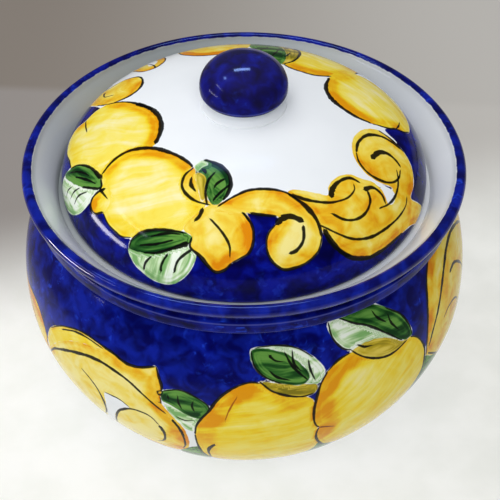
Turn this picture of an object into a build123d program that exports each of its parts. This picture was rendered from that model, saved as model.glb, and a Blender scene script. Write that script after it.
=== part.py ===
"""Glazed earthenware biscuit jar: a round-bellied pot, a domed lid and the knob luted to it.

Origin at the centre of the foot ring's underside, +Z up, millimetres.
"""

import os

from build123d import *

# ---------------------------------------------------------------- driving dimensions

# Pot, outside
rim_radius = 100.0  # outer edge of the rolled lip
jar_height = 137.0  # table to the top of the lip
lip_thickness = 5.4  # of the rolled lip
belly_radius = 105.7  # widest part of the belly
belly_height = 71.0  # table to the widest part of the belly
neck_inset = 6.6  # how far the hollow corner between neck and belly lies inside the lip
neck_height = 19.0  # that corner to the top of the lip
neck_ring_stand = 2.6  # how far the ring round the neck stands out from that corner
neck_ring_height = 7.0  # that corner up to the top of the ring's upright band
neck_ring_slope = 2.0  # height of the slope under and over that band
neck_ring_fade = 0.8  # how far the slope over the band still stands out where it ends
foot_radius = 66.0  # outer edge of the foot ring
foot_width = 7.0  # of the flat ring that stands on the table
foot_height = 5.0  # how far the foot ring lifts the belly
foot_setback = 6.5  # how far the belly overhangs the foot ring where it starts
foot_bevel = 1.0  # rise of the turned shoulder between foot ring and belly

# Pot, inside
jar_wall = 5.0  # of the belly
floor_thickness = 6.0  # under the biscuits
floor_round = 4.0  # how far inside the foot ring the flat floor ends
gallery_depth = 14.0  # top of the lip down to the ledge that carries the lid
gallery_wall = 8.4  # clay between that hollow corner and the foot of the flared white wall
ledge_width = 8.0  # of the flat ledge, inwards from the gallery wall
ledge_thickness = 5.5  # of the ledge at the throat
undercut_height = 10.0  # of the hollow curve that carries the ledge from below
neck_wall = 0.9  # how far the top of the hollow lies inside the corner of the neck

# Lid
lid_wall = 5.0
inner_edge_height = 8.0  # lid's widest edge up to where the hollow dome starts
lid_play = 1.9  # between the lid's edge and the foot of the gallery wall
dome_height = 37.6  # lid's widest edge up to the pad under the knob
edge_height = 2.6  # ledge up to the lid's widest edge
edge_inset = 1.8  # how far the rounded edge draws in down to the flat seat
flange_depth = 10.0  # how far the locating ring reaches below the ledge
flange_wall = 4.5  # thickness of the locating ring
flange_play = 1.7  # between the locating ring and the throat
pad_margin = 0.5  # of the flat pad round the knob's foot

# Knob
knob_foot_radius = 18.8  # where the knob is luted to the lid
knob_waist_radius = 12.5  # under the cap
knob_cap_radius = 19.2  # widest part of the cap
knob_height = 23.4
knob_foot_edge = 0.9  # height of the edge that the knob's foot shows round the lid's pad
knob_waist_height = 4.4  # height of the narrowest part above the lid
knob_cap_height = 9.9  # height of the cap's widest part above the lid
knob_crest_drop = 2.6  # the widest part down to the crest turned round the cap
knob_crest_inset = 0.2  # how little the cap draws in down to that crest
knob_bevel_height = 1.7  # height of the bevel under the crest
knob_bevel_inset = 1.0  # how far that bevel draws in

# Roundings
glaze_round = 1.2  # glazed corners
fine_round = 0.5  # crest and lower edge of the knob's cap, and the edge of its foot
seat_round = 1.0  # corners that the lid rests between

# Handles of the curves, as shares (outwards, upwards) of what each curve spans
belly_spread = (0.41, 0.38)  # over the foot, of the height to the widest part
belly_upright = 0.19  # under the widest part
shoulder_upright = 0.36  # over the widest part, of the height up to the neck
shoulder_tuck = (0.20, 0.33)  # under the neck
inner_tuck = (0.16, 0.33)  # of the inside under the hollow curve below the ledge
inner_upright = 0.50  # of the inside under its widest part
inner_spread = 0.30  # of the inside over the flat floor
undercut_ledge = (0.50, 0.10)  # of the hollow curve beside the throat (outwards, downwards)
undercut_wall = (0.82, 0.40)  # of the hollow curve over the wall (outwards, downwards)
lip_root = (0.4, 0.8)  # where the wall meets the lip, of its rounding (inwards, downwards)
flare_foot = (0.12, 0.28)  # of the gallery wall over the ledge
flare_lip = (0.45, 0.28)  # of the gallery wall under the lip
dome_crown = (0.21, 0.045)  # of the dome beside the knob
dome_upright = 0.80  # of the dome over the lid's edge
edge_turn = (0.4, 0.6)  # of the lid's rounded edge: over the seat, under the widest edge
hollow_crown = 0.25  # of the lid's hollow beside the pad
hollow_upright = 0.62  # of the lid's hollow over the locating ring
knob_foot_sweep = (0.5, 0.6)  # of the knob's foot: share of its width inwards, mm upwards
cap_upright = 0.52  # of the knob's cap over its widest part
cap_crown = 0.62  # of the knob's cap at its top

# ---------------------------------------------------------------- derived places

neck_radius = rim_radius - neck_inset
gallery_radius = neck_radius - gallery_wall
ledge_z = jar_height - gallery_depth
lip_round = lip_thickness / 2
lip_centre = (rim_radius - lip_round, jar_height - lip_round)
in_lip = (lip_centre[0] - lip_round, lip_centre[1])
under_lip = (lip_centre[0] - lip_root[0] * lip_round, lip_centre[1] - lip_root[1] * lip_round)
flare = in_lip[0] - gallery_radius
neck_z = jar_height - neck_height
throat_radius = gallery_radius - ledge_width
inner_belly_radius = belly_radius - jar_wall
recess_z = foot_height - foot_bevel
floor_z = recess_z + floor_thickness
foot_bore = foot_radius - foot_width
lid_radius = gallery_radius - lid_play
lid_edge_z = ledge_z + edge_height
seat_radius = lid_radius - edge_inset
pad_z = lid_edge_z + dome_height
pad_radius = knob_foot_radius + pad_margin
flange_radius = throat_radius - flange_play
flange_bore = flange_radius - flange_wall


def corner(sketch: Sketch, radius: float, height: float) -> Vertex:
    """Corner of a half section that lies nearest to a radius and height.

    Args:
        sketch: The half section, drawn with its axis at x = 0.
        radius: Distance from the axis.
        height: Height above the table.

    Returns:
        The nearest vertex.
    """
    return sketch.vertices().sort_by_distance((radius, height, 0))[0]


# ---------------------------------------------------------------- pot

# The belly swells from a foot set in under it and closes to the neck. Both halves of its outline
# leave the widest part upright. A handle is the length of a curve's tangent at one of its ends.
belly_foot = (foot_radius + foot_setback, foot_height + foot_bevel)
shoulder_rise = neck_z - belly_height
lower_drop = belly_height - foot_height

# The inside follows it one wall further in, from under the ledge down to the flat floor.
throat_z = ledge_z - ledge_thickness
under_ledge = (neck_radius - neck_wall, throat_z - undercut_height)
undercut = under_ledge[0] - throat_radius
inner_rise = under_ledge[1] - belly_height
inner_drop = belly_height - floor_z
floor_radius = foot_bore - floor_round

# The ring round the neck is a band between two sloped shoulders.
ring_radius = neck_radius + neck_ring_stand
ring_foot_z = neck_z + neck_ring_slope
ring_top_z = neck_z + neck_ring_height
over_ring = (neck_radius + neck_ring_fade, ring_top_z + neck_ring_slope)

with BuildPart() as jar:
    with BuildSketch(Plane.XZ) as jar_section:
        with BuildLine():
            # Outside, from the foot ring up to the lip
            Line((foot_bore, 0), (foot_radius, 0))
            Line((foot_radius, 0), (foot_radius, foot_height))
            Line((foot_radius, foot_height), belly_foot)
            Bezier(
                belly_foot,
                (
                    belly_foot[0] + belly_spread[0] * lower_drop,
                    belly_foot[1] + belly_spread[1] * lower_drop,
                ),
                (belly_radius, belly_height - belly_upright * lower_drop),
                (belly_radius, belly_height),
            )
            Bezier(
                (belly_radius, belly_height),
                (belly_radius, belly_height + shoulder_upright * shoulder_rise),
                (
                    neck_radius + shoulder_tuck[0] * shoulder_rise,
                    neck_z - shoulder_tuck[1] * shoulder_rise,
                ),
                (neck_radius, neck_z),
            )
            Line((neck_radius, neck_z), (ring_radius, ring_foot_z))
            Line((ring_radius, ring_foot_z), (ring_radius, ring_top_z))
            Line((ring_radius, ring_top_z), over_ring)
            Line(over_ring, under_lip)
            # Inside, from the lip down the flare of the gallery, over the ledge, through the throat
            Line(under_lip, lip_centre)
            Line(lip_centre, in_lip)
            Bezier(
                in_lip,
                (in_lip[0] - flare_lip[0] * flare, in_lip[1] - flare_lip[1] * gallery_depth),
                (gallery_radius + flare_foot[0] * flare, ledge_z + flare_foot[1] * gallery_depth),
                (gallery_radius, ledge_z),
            )
            Line((gallery_radius, ledge_z), (throat_radius, ledge_z))
            Line((throat_radius, ledge_z), (throat_radius, throat_z))
            Bezier(
                (throat_radius, throat_z),
                (
                    throat_radius + undercut_ledge[0] * undercut,
                    throat_z - undercut_ledge[1] * undercut_height,
                ),
                (
                    throat_radius + undercut_wall[0] * undercut,
                    throat_z - undercut_wall[1] * undercut_height,
                ),
                under_ledge,
            )
            Bezier(
                under_ledge,
                (
                    under_ledge[0] + inner_tuck[0] * inner_rise,
                    under_ledge[1] - inner_tuck[1] * inner_rise,
                ),
                (inner_belly_radius, belly_height + shoulder_upright * inner_rise),
                (inner_belly_radius, belly_height),
            )
            Bezier(
                (inner_belly_radius, belly_height),
                (inner_belly_radius, belly_height - inner_upright * inner_drop),
                (floor_radius + inner_spread * inner_drop, floor_z),
                (floor_radius, floor_z),
            )
            # Floor, and the recess under it
            Line((floor_radius, floor_z), (0, floor_z))
            Line((0, floor_z), (0, recess_z))
            Line((0, recess_z), (foot_bore, recess_z))
            Line((foot_bore, recess_z), (foot_bore, 0))
        make_face()
        fillet(corner(jar_section, neck_radius, neck_z), glaze_round)
        fillet(corner(jar_section, ring_radius, ring_foot_z), glaze_round)
        fillet(corner(jar_section, ring_radius, ring_top_z), glaze_round)
        fillet(corner(jar_section, foot_radius, 0), glaze_round)
        fillet(corner(jar_section, throat_radius, ledge_z), seat_round)
        fillet(corner(jar_section, throat_radius, throat_z), glaze_round)
        fillet(corner(jar_section, foot_bore, 0), seat_round)
        # The lip is a clay roll laid round the top of the flare
        with Locations(lip_centre):
            Circle(lip_round)
    revolve(axis=Axis.Z)
jar.part.label = "jar"

# ---------------------------------------------------------------- lid

inner_dome_z = pad_z - lid_wall
inner_edge_z = lid_edge_z + inner_edge_height
dome_width = lid_radius - pad_radius
hollow_rise = inner_dome_z - inner_edge_z

with BuildPart() as lid:
    with BuildSketch(Plane.XZ) as lid_section:
        with BuildLine():
            # Outside: flat pad for the knob, dome, rounded edge, flat seat
            Line((0, pad_z), (pad_radius, pad_z))
            Bezier(
                (pad_radius, pad_z),
                (pad_radius + dome_crown[0] * dome_width, pad_z - dome_crown[1] * dome_height),
                (lid_radius, lid_edge_z + dome_upright * dome_height),
                (lid_radius, lid_edge_z),
            )
            Bezier(
                (lid_radius, lid_edge_z),
                (lid_radius, lid_edge_z - edge_turn[1] * edge_height),
                (seat_radius + edge_turn[0] * edge_inset, ledge_z),
                (seat_radius, ledge_z),
            )
            Line((seat_radius, ledge_z), (flange_radius, ledge_z))
            # Locating ring that hangs into the throat
            Line((flange_radius, ledge_z), (flange_radius, ledge_z - flange_depth))
            Line((flange_radius, ledge_z - flange_depth), (flange_bore, ledge_z - flange_depth))
            Line((flange_bore, ledge_z - flange_depth), (flange_bore, inner_edge_z))
            # Inside of the dome
            Bezier(
                (flange_bore, inner_edge_z),
                (flange_bore, inner_edge_z + hollow_upright * hollow_rise),
                (pad_radius + hollow_crown * (flange_bore - pad_radius), inner_dome_z),
                (pad_radius, inner_dome_z),
            )
            Line((pad_radius, inner_dome_z), (0, inner_dome_z))
            Line((0, inner_dome_z), (0, pad_z))
        make_face()
        fillet(corner(lid_section, flange_radius, ledge_z - flange_depth), glaze_round)
        fillet(corner(lid_section, flange_bore, ledge_z - flange_depth), glaze_round)
    revolve(axis=Axis.Z)
lid.part.label = "lid"

# ---------------------------------------------------------------- knob

waist_z = pad_z + knob_waist_height
cap_z = pad_z + knob_cap_height
knob_top = pad_z + knob_height
cap_rise = knob_top - cap_z
foot_edge_z = pad_z + knob_foot_edge
foot_sweep = knob_foot_sweep[0] * (knob_foot_radius - knob_waist_radius)

# Under its widest part the cap is nearly upright down to a fine crest, and bevelled below it.
crest = (knob_cap_radius - knob_crest_inset, cap_z - knob_crest_drop)
under_cap = (crest[0] - knob_bevel_inset, crest[1] - knob_bevel_height)

with BuildPart() as knob:
    with BuildSketch(Plane.XZ) as knob_section:
        with BuildLine():
            Line((0, pad_z), (knob_foot_radius, pad_z))
            Line((knob_foot_radius, pad_z), (knob_foot_radius, foot_edge_z))
            # The foot sweeps in to the waist, which the fingers close on
            Bezier(
                (knob_foot_radius, foot_edge_z),
                (knob_foot_radius - foot_sweep, foot_edge_z + knob_foot_sweep[1]),
                (knob_waist_radius, waist_z - knob_waist_height / 2),
                (knob_waist_radius, waist_z),
            )
            Line((knob_waist_radius, waist_z), under_cap)
            Line(under_cap, crest)
            Bezier(
                crest,
                (knob_cap_radius, crest[1] + knob_crest_drop / 3),
                (knob_cap_radius, cap_z - knob_crest_drop / 3),
                (knob_cap_radius, cap_z),
            )
            Bezier(
                (knob_cap_radius, cap_z),
                (knob_cap_radius, cap_z + cap_upright * cap_rise),
                (cap_crown * knob_cap_radius, knob_top),
                (0, knob_top),
            )
            Line((0, knob_top), (0, pad_z))
        make_face()
        fillet(corner(knob_section, knob_foot_radius, foot_edge_z), fine_round)
        fillet(corner(knob_section, knob_waist_radius, waist_z), glaze_round)
        fillet(corner(knob_section, *under_cap), fine_round)
        fillet(corner(knob_section, *crest), fine_round)
    revolve(axis=Axis.Z)
knob.part.label = "knob"

# ---------------------------------------------------------------- files

os.makedirs("parts", exist_ok=True)
export_step(jar.part, "parts/jar.step")
export_step(lid.part, "parts/lid.step")
export_step(knob.part, "parts/knob.step")
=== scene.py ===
"""Hand-painted biscuit jar: a thrown pot, its domed lid and the knob, under one clear glaze.

The clay forms are spun from their half sections. The painting is laid shape by shape on a flat
chart of each surface, in millimetres, and kept on the vertices, where the glaze reads it.
"""

import logging
import math
from collections.abc import Callable
from dataclasses import dataclass, field
from enum import Enum

import bmesh
import bpy
import numpy as np
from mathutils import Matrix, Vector


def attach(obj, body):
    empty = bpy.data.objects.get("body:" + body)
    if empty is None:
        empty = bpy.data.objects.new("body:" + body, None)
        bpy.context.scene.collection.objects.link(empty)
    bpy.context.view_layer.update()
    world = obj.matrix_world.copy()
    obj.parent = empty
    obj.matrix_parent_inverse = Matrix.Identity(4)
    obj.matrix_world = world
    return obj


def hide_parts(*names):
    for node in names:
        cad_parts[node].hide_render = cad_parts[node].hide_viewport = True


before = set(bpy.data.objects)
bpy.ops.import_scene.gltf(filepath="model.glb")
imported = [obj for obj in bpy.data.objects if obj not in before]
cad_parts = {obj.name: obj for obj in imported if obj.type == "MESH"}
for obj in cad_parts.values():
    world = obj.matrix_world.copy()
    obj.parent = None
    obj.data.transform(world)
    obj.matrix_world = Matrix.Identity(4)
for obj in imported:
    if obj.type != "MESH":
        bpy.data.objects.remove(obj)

log = logging.getLogger("biscuit_jar")

MM = 0.001  # the forms are worked out in millimetres, the scene in metres
CRISP = 0.6  # radians; an edge that bends more than this stays crisp

Point = tuple[float, float]

CHANNELS = 5  # brush lines that may run over one another at one spot
LINES = tuple(f"line_{channel}" for channel in range(CHANNELS))
KEPT = ("cover_low", "cover_high", "brush", "grain", *LINES)  # what a canvas keeps on its piece
UNPAINTED = -9.0  # cover where no shape lies
NO_LINE = -3.0  # width where no line runs
BARE = NO_LINE + 0.1  # a width below this counts as none
BANDED = (0.54, 0.42)  # a wash this thin was banded on the wheel, so its edge is even
HARD_EDGE = (-0.2, 0.2)  # over how many millimetres one colour gives way to another


# ---------------------------------------------------------------- drawing helpers


def bezier(start: Point, leave: Point, arrive: Point, end: Point, steps: int) -> list[Point]:
    """Points along a cubic curve.

    Args:
        start: Where it starts.
        leave: Handle at the start.
        arrive: Handle at the end.
        end: Where it ends.
        steps: How many runs it is cut into.

    Returns:
        The points after the start, up to the end.
    """
    points = []
    for i in range(1, steps + 1):
        t = i / steps
        weights = ((1 - t) ** 3, 3 * t * (1 - t) ** 2, 3 * t * t * (1 - t), t**3)
        points.append(
            tuple(
                sum(w * p[axis] for w, p in zip(weights, (start, leave, arrive, end)))
                for axis in (0, 1)
            )
        )
    return points


def smooth_path(points: tuple[Point, ...], closed: bool, per_span: int = 6) -> np.ndarray:
    """A soft line through a few points, as a loaded brush draws it.

    Args:
        points: What the line goes through.
        closed: Whether it comes back to its start.
        per_span: Runs between two points.

    Returns:
        The line's points, one row each.
    """
    knots = np.array(points, float)
    if closed:
        knots = np.vstack([knots[-1:], knots, knots[:2]])
    else:
        knots = np.vstack([2 * knots[:1] - knots[1:2], knots, 2 * knots[-1:] - knots[-2:-1]])
    t = np.linspace(0, 1, per_span, endpoint=False)[:, None]
    spans = []
    for a, b, c, d in zip(knots, knots[1:], knots[2:], knots[3:]):
        spans.append(
            b
            + 0.5 * t * (c - a)
            + t * t * (a - 2.5 * b + 2 * c - 0.5 * d)
            + t**3 * (1.5 * b - 0.5 * a - 1.5 * c + 0.5 * d)
        )
    line = np.vstack(spans)
    return line if closed else np.vstack([line, knots[-2:-1]])


def ease(low: float, high: float, value: np.ndarray) -> np.ndarray:
    """Goes softly from 0 at low to 1 at high; low may be the larger one."""
    t = np.clip((value - low) / (high - low), 0, 1)
    return t * t * (3 - 2 * t)


def nearest(x: np.ndarray, y: np.ndarray, line: np.ndarray, closed: bool) -> tuple:
    """Nearest place on a line for each of many points.

    Args:
        x: Across the chart.
        y: Up the chart.
        line: The line's points.
        closed: Whether its last point joins its first.

    Returns:
        Distance, the offset from the line (x, y), the way along the line, and the side (+1 left).
    """
    ends = np.roll(line, -1, axis=0) if closed else line[1:]
    starts = line if closed else line[:-1]
    run = ends - starts
    length = np.maximum(np.hypot(*run.T), 1e-9)
    way = np.concatenate([[0], np.cumsum(length)])[:-1]
    wx = x[:, None] - starts[:, 0]
    wy = y[:, None] - starts[:, 1]
    share = np.clip((wx * run[:, 0] + wy * run[:, 1]) / length**2, 0, 1)
    dx = wx - share * run[:, 0]
    dy = wy - share * run[:, 1]
    pick = np.argmin(dx * dx + dy * dy, axis=1)
    rows = np.arange(len(x))
    dx, dy, share = dx[rows, pick], dy[rows, pick], share[rows, pick]
    side = np.sign(run[pick, 0] * wy[rows, pick] - run[pick, 1] * wx[rows, pick])
    side[side == 0] = 1
    return np.hypot(dx, dy), dx, dy, way[pick] + share * length[pick], side


def is_inside(x: np.ndarray, y: np.ndarray, loop: np.ndarray) -> np.ndarray:
    """Whether each point lies inside a closed loop."""
    x0, y0 = loop.T
    x1, y1 = np.roll(loop, -1, axis=0).T
    level = np.where(np.abs(y1 - y0) < 1e-9, 1e-9, y1 - y0)
    crosses = (y0 <= y[:, None]) != (y1 <= y[:, None])
    left = x[:, None] < x0 + (y[:, None] - y0) / level * (x1 - x0)
    return (np.sum(crosses & left, axis=1) % 2) == 1


# ---------------------------------------------------------------- half sections


@dataclass
class Section:
    """Half section of a thrown form, walked leg by leg; radius and height in millimetres."""

    step: float = 1.2
    rows: list[Point] = field(default_factory=list)

    def line(self, radius: float, height: float, step: float = 0.0) -> None:
        """Walks straight on, in runs no longer than a step."""
        if not self.rows:
            self.rows.append((radius, height))
            return
        r, z = self.rows[-1]
        runs = max(1, math.ceil(math.hypot(radius - r, height - z) / (step or self.step)))
        for i in range(1, runs + 1):
            self.rows.append((r + (radius - r) * i / runs, z + (height - z) * i / runs))

    def curve(self, leave: Point, arrive: Point, end: Point, step: float = 0.0) -> None:
        """Walks along a cubic curve from the last row, with rows a step apart."""
        start = self.rows[-1]
        fine = np.array([start, *bezier(start, leave, arrive, end, 160)])
        way = np.concatenate([[0], np.cumsum(np.hypot(*np.diff(fine, axis=0).T))])
        runs = max(2, math.ceil(way[-1] / (step or self.step)))
        for place in np.linspace(0, way[-1], runs + 1)[1:]:
            self.rows.append(
                (float(np.interp(place, way, fine[:, 0])), float(np.interp(place, way, fine[:, 1])))
            )

    def arc(self, centre: Point, radius: float, first: float, last: float, runs: int) -> None:
        """Walks round an arc, from one angle in degrees to another."""
        for i in range(runs + 1):
            a = math.radians(first + (last - first) * i / runs)
            self.rows.append((centre[0] + radius * math.cos(a), centre[1] + radius * math.sin(a)))

    def soften(self, radius: float, height: float, reach: float, runs: int = 4) -> None:
        """Rounds the corner nearest to a radius and height, starting a reach away on both sides."""
        line = np.array(self.rows)
        corner = int(np.argmin(np.hypot(line[:, 0] - radius, line[:, 1] - height)))
        way = np.concatenate([[0], np.cumsum(np.hypot(*np.diff(line, axis=0).T))])
        marks = (way[corner] - reach, way[corner] + reach)
        start, end = (tuple(float(np.interp(m, way, line[:, k])) for k in (0, 1)) for m in marks)
        turn = self.rows[corner]
        round_off = [start]
        for i in range(1, runs + 1):
            t = i / runs
            round_off.append(
                tuple(
                    (1 - t) ** 2 * start[k] + 2 * t * (1 - t) * turn[k] + t * t * end[k]
                    for k in (0, 1)
                )
            )
        clear = 0.15  # rows any nearer to the rounding would crowd it
        before = [p for p, w in zip(self.rows, way) if w < marks[0] - clear]
        after = [p for p, w in zip(self.rows, way) if w > marks[1] + clear]
        self.rows = before + round_off + after

    def ways(self) -> np.ndarray:
        """How far each row lies along the section, in millimetres."""
        steps = np.hypot(*np.diff(np.array(self.rows), axis=0).T)
        return np.concatenate([[0], np.cumsum(steps)])

    def way_at(self, radius: float, height: float) -> float:
        """How far along the section the row nearest to a radius and height lies."""
        line = np.array(self.rows)
        return float(self.ways()[np.argmin(np.hypot(line[:, 0] - radius, line[:, 1] - height))])

    def spin(self, name: str, segments: int, origin: float) -> bpy.types.Object:
        """Spins the section into a closed piece.

        Args:
            name: The piece's name.
            segments: Steps round the axis.
            origin: The way along the section that counts as 0 on the piece's way attribute.

        Returns:
            The piece, at the origin, with the way of each vertex kept in its attribute "way".
        """
        bm = bmesh.new()
        layer = bm.verts.layers.float.new("way")
        ring = []
        for (radius, height), way in zip(self.rows, self.ways()):
            vertex = bm.verts.new((radius * MM, 0, height * MM))
            vertex[layer] = float(way - origin)
            ring.append(vertex)
        edges = [bm.edges.new(pair) for pair in zip(ring, ring[1:])]
        bmesh.ops.spin(
            bm,
            geom=ring + edges,
            cent=(0, 0, 0),
            axis=(0, 0, 1),
            dvec=(0, 0, 0),
            angle=math.tau,
            steps=segments,
            use_merge=True,
            use_duplicate=False,
        )
        bmesh.ops.remove_doubles(bm, verts=bm.verts, dist=1e-6)
        bmesh.ops.recalc_face_normals(bm, faces=bm.faces)
        for face in bm.faces:
            face.smooth = True
        for edge in bm.edges:
            if edge.is_manifold and edge.calc_face_angle() > CRISP:
                edge.smooth = False
        mesh = bpy.data.meshes.new(name)
        bm.to_mesh(mesh)
        bm.free()
        piece = bpy.data.objects.new(name, mesh)
        bpy.context.scene.collection.objects.link(piece)
        return piece


# ---------------------------------------------------------------- painting


class Pigment(Enum):
    """What a shape is filled with; the value is its row in the canvas's cover."""

    WHITE = -1
    COBALT = 0
    GOLD = 1
    LEMON = 2
    PALE_LEAF = 3
    DARK_LEAF = 4
    OLIVE = 5


class Press(Enum):
    """How the brush presses along a line: its width at the start, the middle and the end."""

    EVEN = (0.9, 1.0, 0.9)
    SWELL = (0.55, 1.05, 0.5)
    HEAD = (1.35, 0.85, 0.45)
    TAIL = (0.45, 0.85, 1.35)


@dataclass(frozen=True)
class Line:
    """One brush line. Width in millimetres; ink 1 is black, 0 a thin rust-red."""

    points: tuple[Point, ...]
    width: float = 1.1
    press: Press = Press.SWELL
    ink: float = 1.0

    def paint(self, canvas: "Canvas", shift: Point) -> None:
        """Draws the line."""
        moved = tuple((x + shift[0], y + shift[1]) for x, y in self.points)
        canvas.draw(smooth_path(moved, closed=False), self.width, self.press, self.ink)


@dataclass(frozen=True)
class Edge:
    """A line along part of a shape's own outline, from one of its points to a later one."""

    first: int
    last: int
    width: float = 1.1
    press: Press = Press.SWELL
    ink: float = 1.0


@dataclass(frozen=True)
class Shape:
    """One filled shape.

    The ochre side is the direction, in degrees on the chart, whose edge gets the darker wash. The
    grain is the direction in which the brush filled the middle.
    """

    pigment: Pigment
    points: tuple[Point, ...]
    ochre_side: float = 90.0
    ochre: float = 0.6
    band: float = 4.5  # width of the darker wash
    cream: float = 0.3
    grain: float = 0.0
    halo: float = 0.15  # white left bare round it, where it meets the cobalt
    edges: tuple[Edge, ...] = ()

    def paint(self, canvas: "Canvas", shift: Point) -> None:
        """Lays the shape, then the lines along its edge."""
        moved = tuple((x + shift[0], y + shift[1]) for x, y in self.points)
        canvas.lay(self, smooth_path(moved, closed=True))
        count = len(moved)
        for edge in self.edges:
            run = tuple(moved[i % count] for i in range(edge.first, edge.last + 1))
            canvas.draw(smooth_path(run, closed=False), edge.width, edge.press, edge.ink)


@dataclass
class Canvas:
    """One painted surface, unrolled flat; x and y give each vertex's place in millimetres."""

    x: np.ndarray
    y: np.ndarray
    period: float = 0.0  # the chart's width where it closes on itself, or 0
    cell: float = 1.7  # longest distance between neighbouring vertices
    load: float = 1.08  # how full the liner brush is, as a share of the widths asked for
    line_reach: float = 2.0  # no line is wider than twice this
    shape_reach: float = 7.0  # how far outside a shape its edge is still kept
    lap: float = 0.2  # how far a colour laps over the one under it
    margin: float = 1.3  # how far outside a shape its brush marks are still kept
    crowded: int = 0

    def __post_init__(self) -> None:
        """Starts with bare white."""
        count = len(self.x)
        self.cover = np.full((len(Pigment) - 1, count), UNPAINTED)
        self.brush = np.zeros((count, 3))
        self.grain = np.zeros((count, 3))
        self.across = np.full((CHANNELS, count), -NO_LINE)
        self.width = np.full((CHANNELS, count), NO_LINE)
        self.ink = np.ones((CHANNELS, count))
        self.strokes = 0

    def close_to(self, line: np.ndarray, margin: float) -> tuple:
        """Vertices in a line's box, with their places moved next to it round the chart."""
        low, high = line.min(0) - margin, line.max(0) + margin
        middle = (low[0] + high[0]) / 2
        x = self.x
        if self.period:
            x = middle + (x - middle + self.period / 2) % self.period - self.period / 2
        near = (x > low[0]) & (x < high[0]) & (self.y > low[1]) & (self.y < high[1])
        index = np.nonzero(near)[0]
        return index, x[index], self.y[index]

    def hide(
        self,
        pigment: Pigment,
        index: np.ndarray | slice,
        inside: np.ndarray,
        halo: float = 0.0,
        lap: float = 0.0,
    ) -> None:
        """Lays a pigment over all that is there.

        Args:
            pigment: What is laid.
            index: The vertices that it may touch.
            inside: How far each of them lies inside its edge.
            halo: How much white stays bare between it and the cobalt.
            lap: How far it laps over the other pigments.
        """
        for other in Pigment:
            if other is Pigment.WHITE:
                continue
            row = self.cover[other.value]
            if other is pigment:
                row[index] = np.maximum(row[index], inside)
            else:
                bare = halo if other is Pigment.COBALT else -lap
                row[index] = np.minimum(row[index], -inside - bare)
        hidden = np.where(inside > -1.0, -2 * inside, -UNPAINTED)
        self.width[:, index] = np.minimum(self.width[:, index], hidden)

    def flood(self, pigment: Pigment, inside: np.ndarray) -> None:
        """Covers every vertex, given how far each one is inside the flooded area."""
        self.hide(pigment, slice(None), inside)

    def lay(self, shape: Shape, loop: np.ndarray) -> None:
        """Fills a loop and hides what lies under it."""
        index, x, y = self.close_to(loop, self.shape_reach)
        if not len(index):
            return
        gap, dx, dy, _, _ = nearest(x, y, loop, closed=True)
        inside = np.where(is_inside(x, y, loop), gap, -gap)
        self.hide(shape.pigment, index, inside, shape.halo, self.lap)
        if shape.pigment is Pigment.WHITE:
            return
        within = inside > -self.margin
        toward = np.where(inside < 0, 1.0, -1.0) / np.maximum(gap, 0.05)
        side = math.radians(shape.ochre_side)
        facing = 0.5 + 0.5 * (dx * math.cos(side) + dy * math.sin(side)) * toward
        wash = np.clip(facing, 0, 1) ** 2 * ease(1.3 * shape.band, 0.7 * shape.band, inside)
        light = ease(0.7 * shape.band, 2.0 * shape.band, inside)
        tone = shape.ochre * wash - shape.cream * light * (1 - wash)
        picked, u, v, depth = index[within], x[within], y[within], inside[within]
        apart = 37.0 * (self.strokes % 7)  # so that two shapes never share their brush marks
        self.brush[picked, 0] = u + 0.6 * v
        self.brush[picked, 1] = depth + apart
        if shape.pigment in (Pigment.GOLD, Pigment.LEMON):
            self.brush[picked, 2] = tone[within]
        if shape.pigment is Pigment.GOLD:  # the brush follows a scroll round
            self.grain[picked] = np.stack([0.6 * u - v, 0.5 * depth + apart, depth], axis=1)
        else:
            turn = math.radians(shape.grain)
            cos, sin = math.cos(turn), math.sin(turn)
            rows = [u * cos + v * sin, v * cos - u * sin + apart, depth]
            self.grain[picked] = np.stack(rows, axis=1)

    def draw(self, line: np.ndarray, width: float, press: Press, ink: float) -> None:
        """Draws a brush line in the first channel that is free along all of it."""
        self.strokes += 1
        width *= self.load
        reach = self.line_reach + self.cell
        index, x, y = self.close_to(line, reach)
        if not len(index):
            return
        gap, _, _, way, side = nearest(x, y, line, closed=False)
        held = gap < reach
        index, gap, way, side = index[held], gap[held], way[held], side[held]
        length = float(np.sum(np.hypot(*np.diff(line, axis=0).T)))
        share = way / length
        pressed = np.interp(share, (0, 0.5, 1), press.value)
        wobble = 1 + 0.12 * np.sin(way * 0.55 + self.strokes) + 0.07 * np.sin(way * 1.7)
        cap = max(0.5 * width, 0.6)
        tip = np.sqrt(np.clip(np.minimum(way, length - way) / cap, 0, 1))
        drawn = np.where(gap < self.line_reach, width * pressed * wobble * tip, NO_LINE)
        taken = np.sum(self.width[:, index] > BARE, axis=1)
        channel = int(np.argmin(taken))
        self.crowded += int(taken[channel] > 0)
        under = self.width[channel, index]
        keep = (drawn > under) | (under < BARE)
        index, gap, side, drawn = index[keep], gap[keep], side[keep], drawn[keep]
        self.across[channel, index] = gap * side
        self.width[channel, index] = drawn
        self.ink[channel, index] = ink

    def keep_on(self, piece: bpy.types.Object) -> None:
        """Writes the painting to the piece's vertices."""
        mesh = piece.data
        layers = {
            "cover_low": np.clip(self.cover[0:3], -6, 6).T,
            "cover_high": np.clip(self.cover[3:6], -6, 6).T,
            "brush": self.brush,
            "grain": self.grain,
        }
        for name, *line in zip(LINES, self.across, self.width, self.ink):
            layers[name] = np.stack(line, axis=1)
        for name, values in layers.items():
            attribute = mesh.attributes.new(name, "FLOAT_VECTOR", "POINT")
            attribute.data.foreach_set("vector", np.ascontiguousarray(values, np.float32).ravel())


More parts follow.
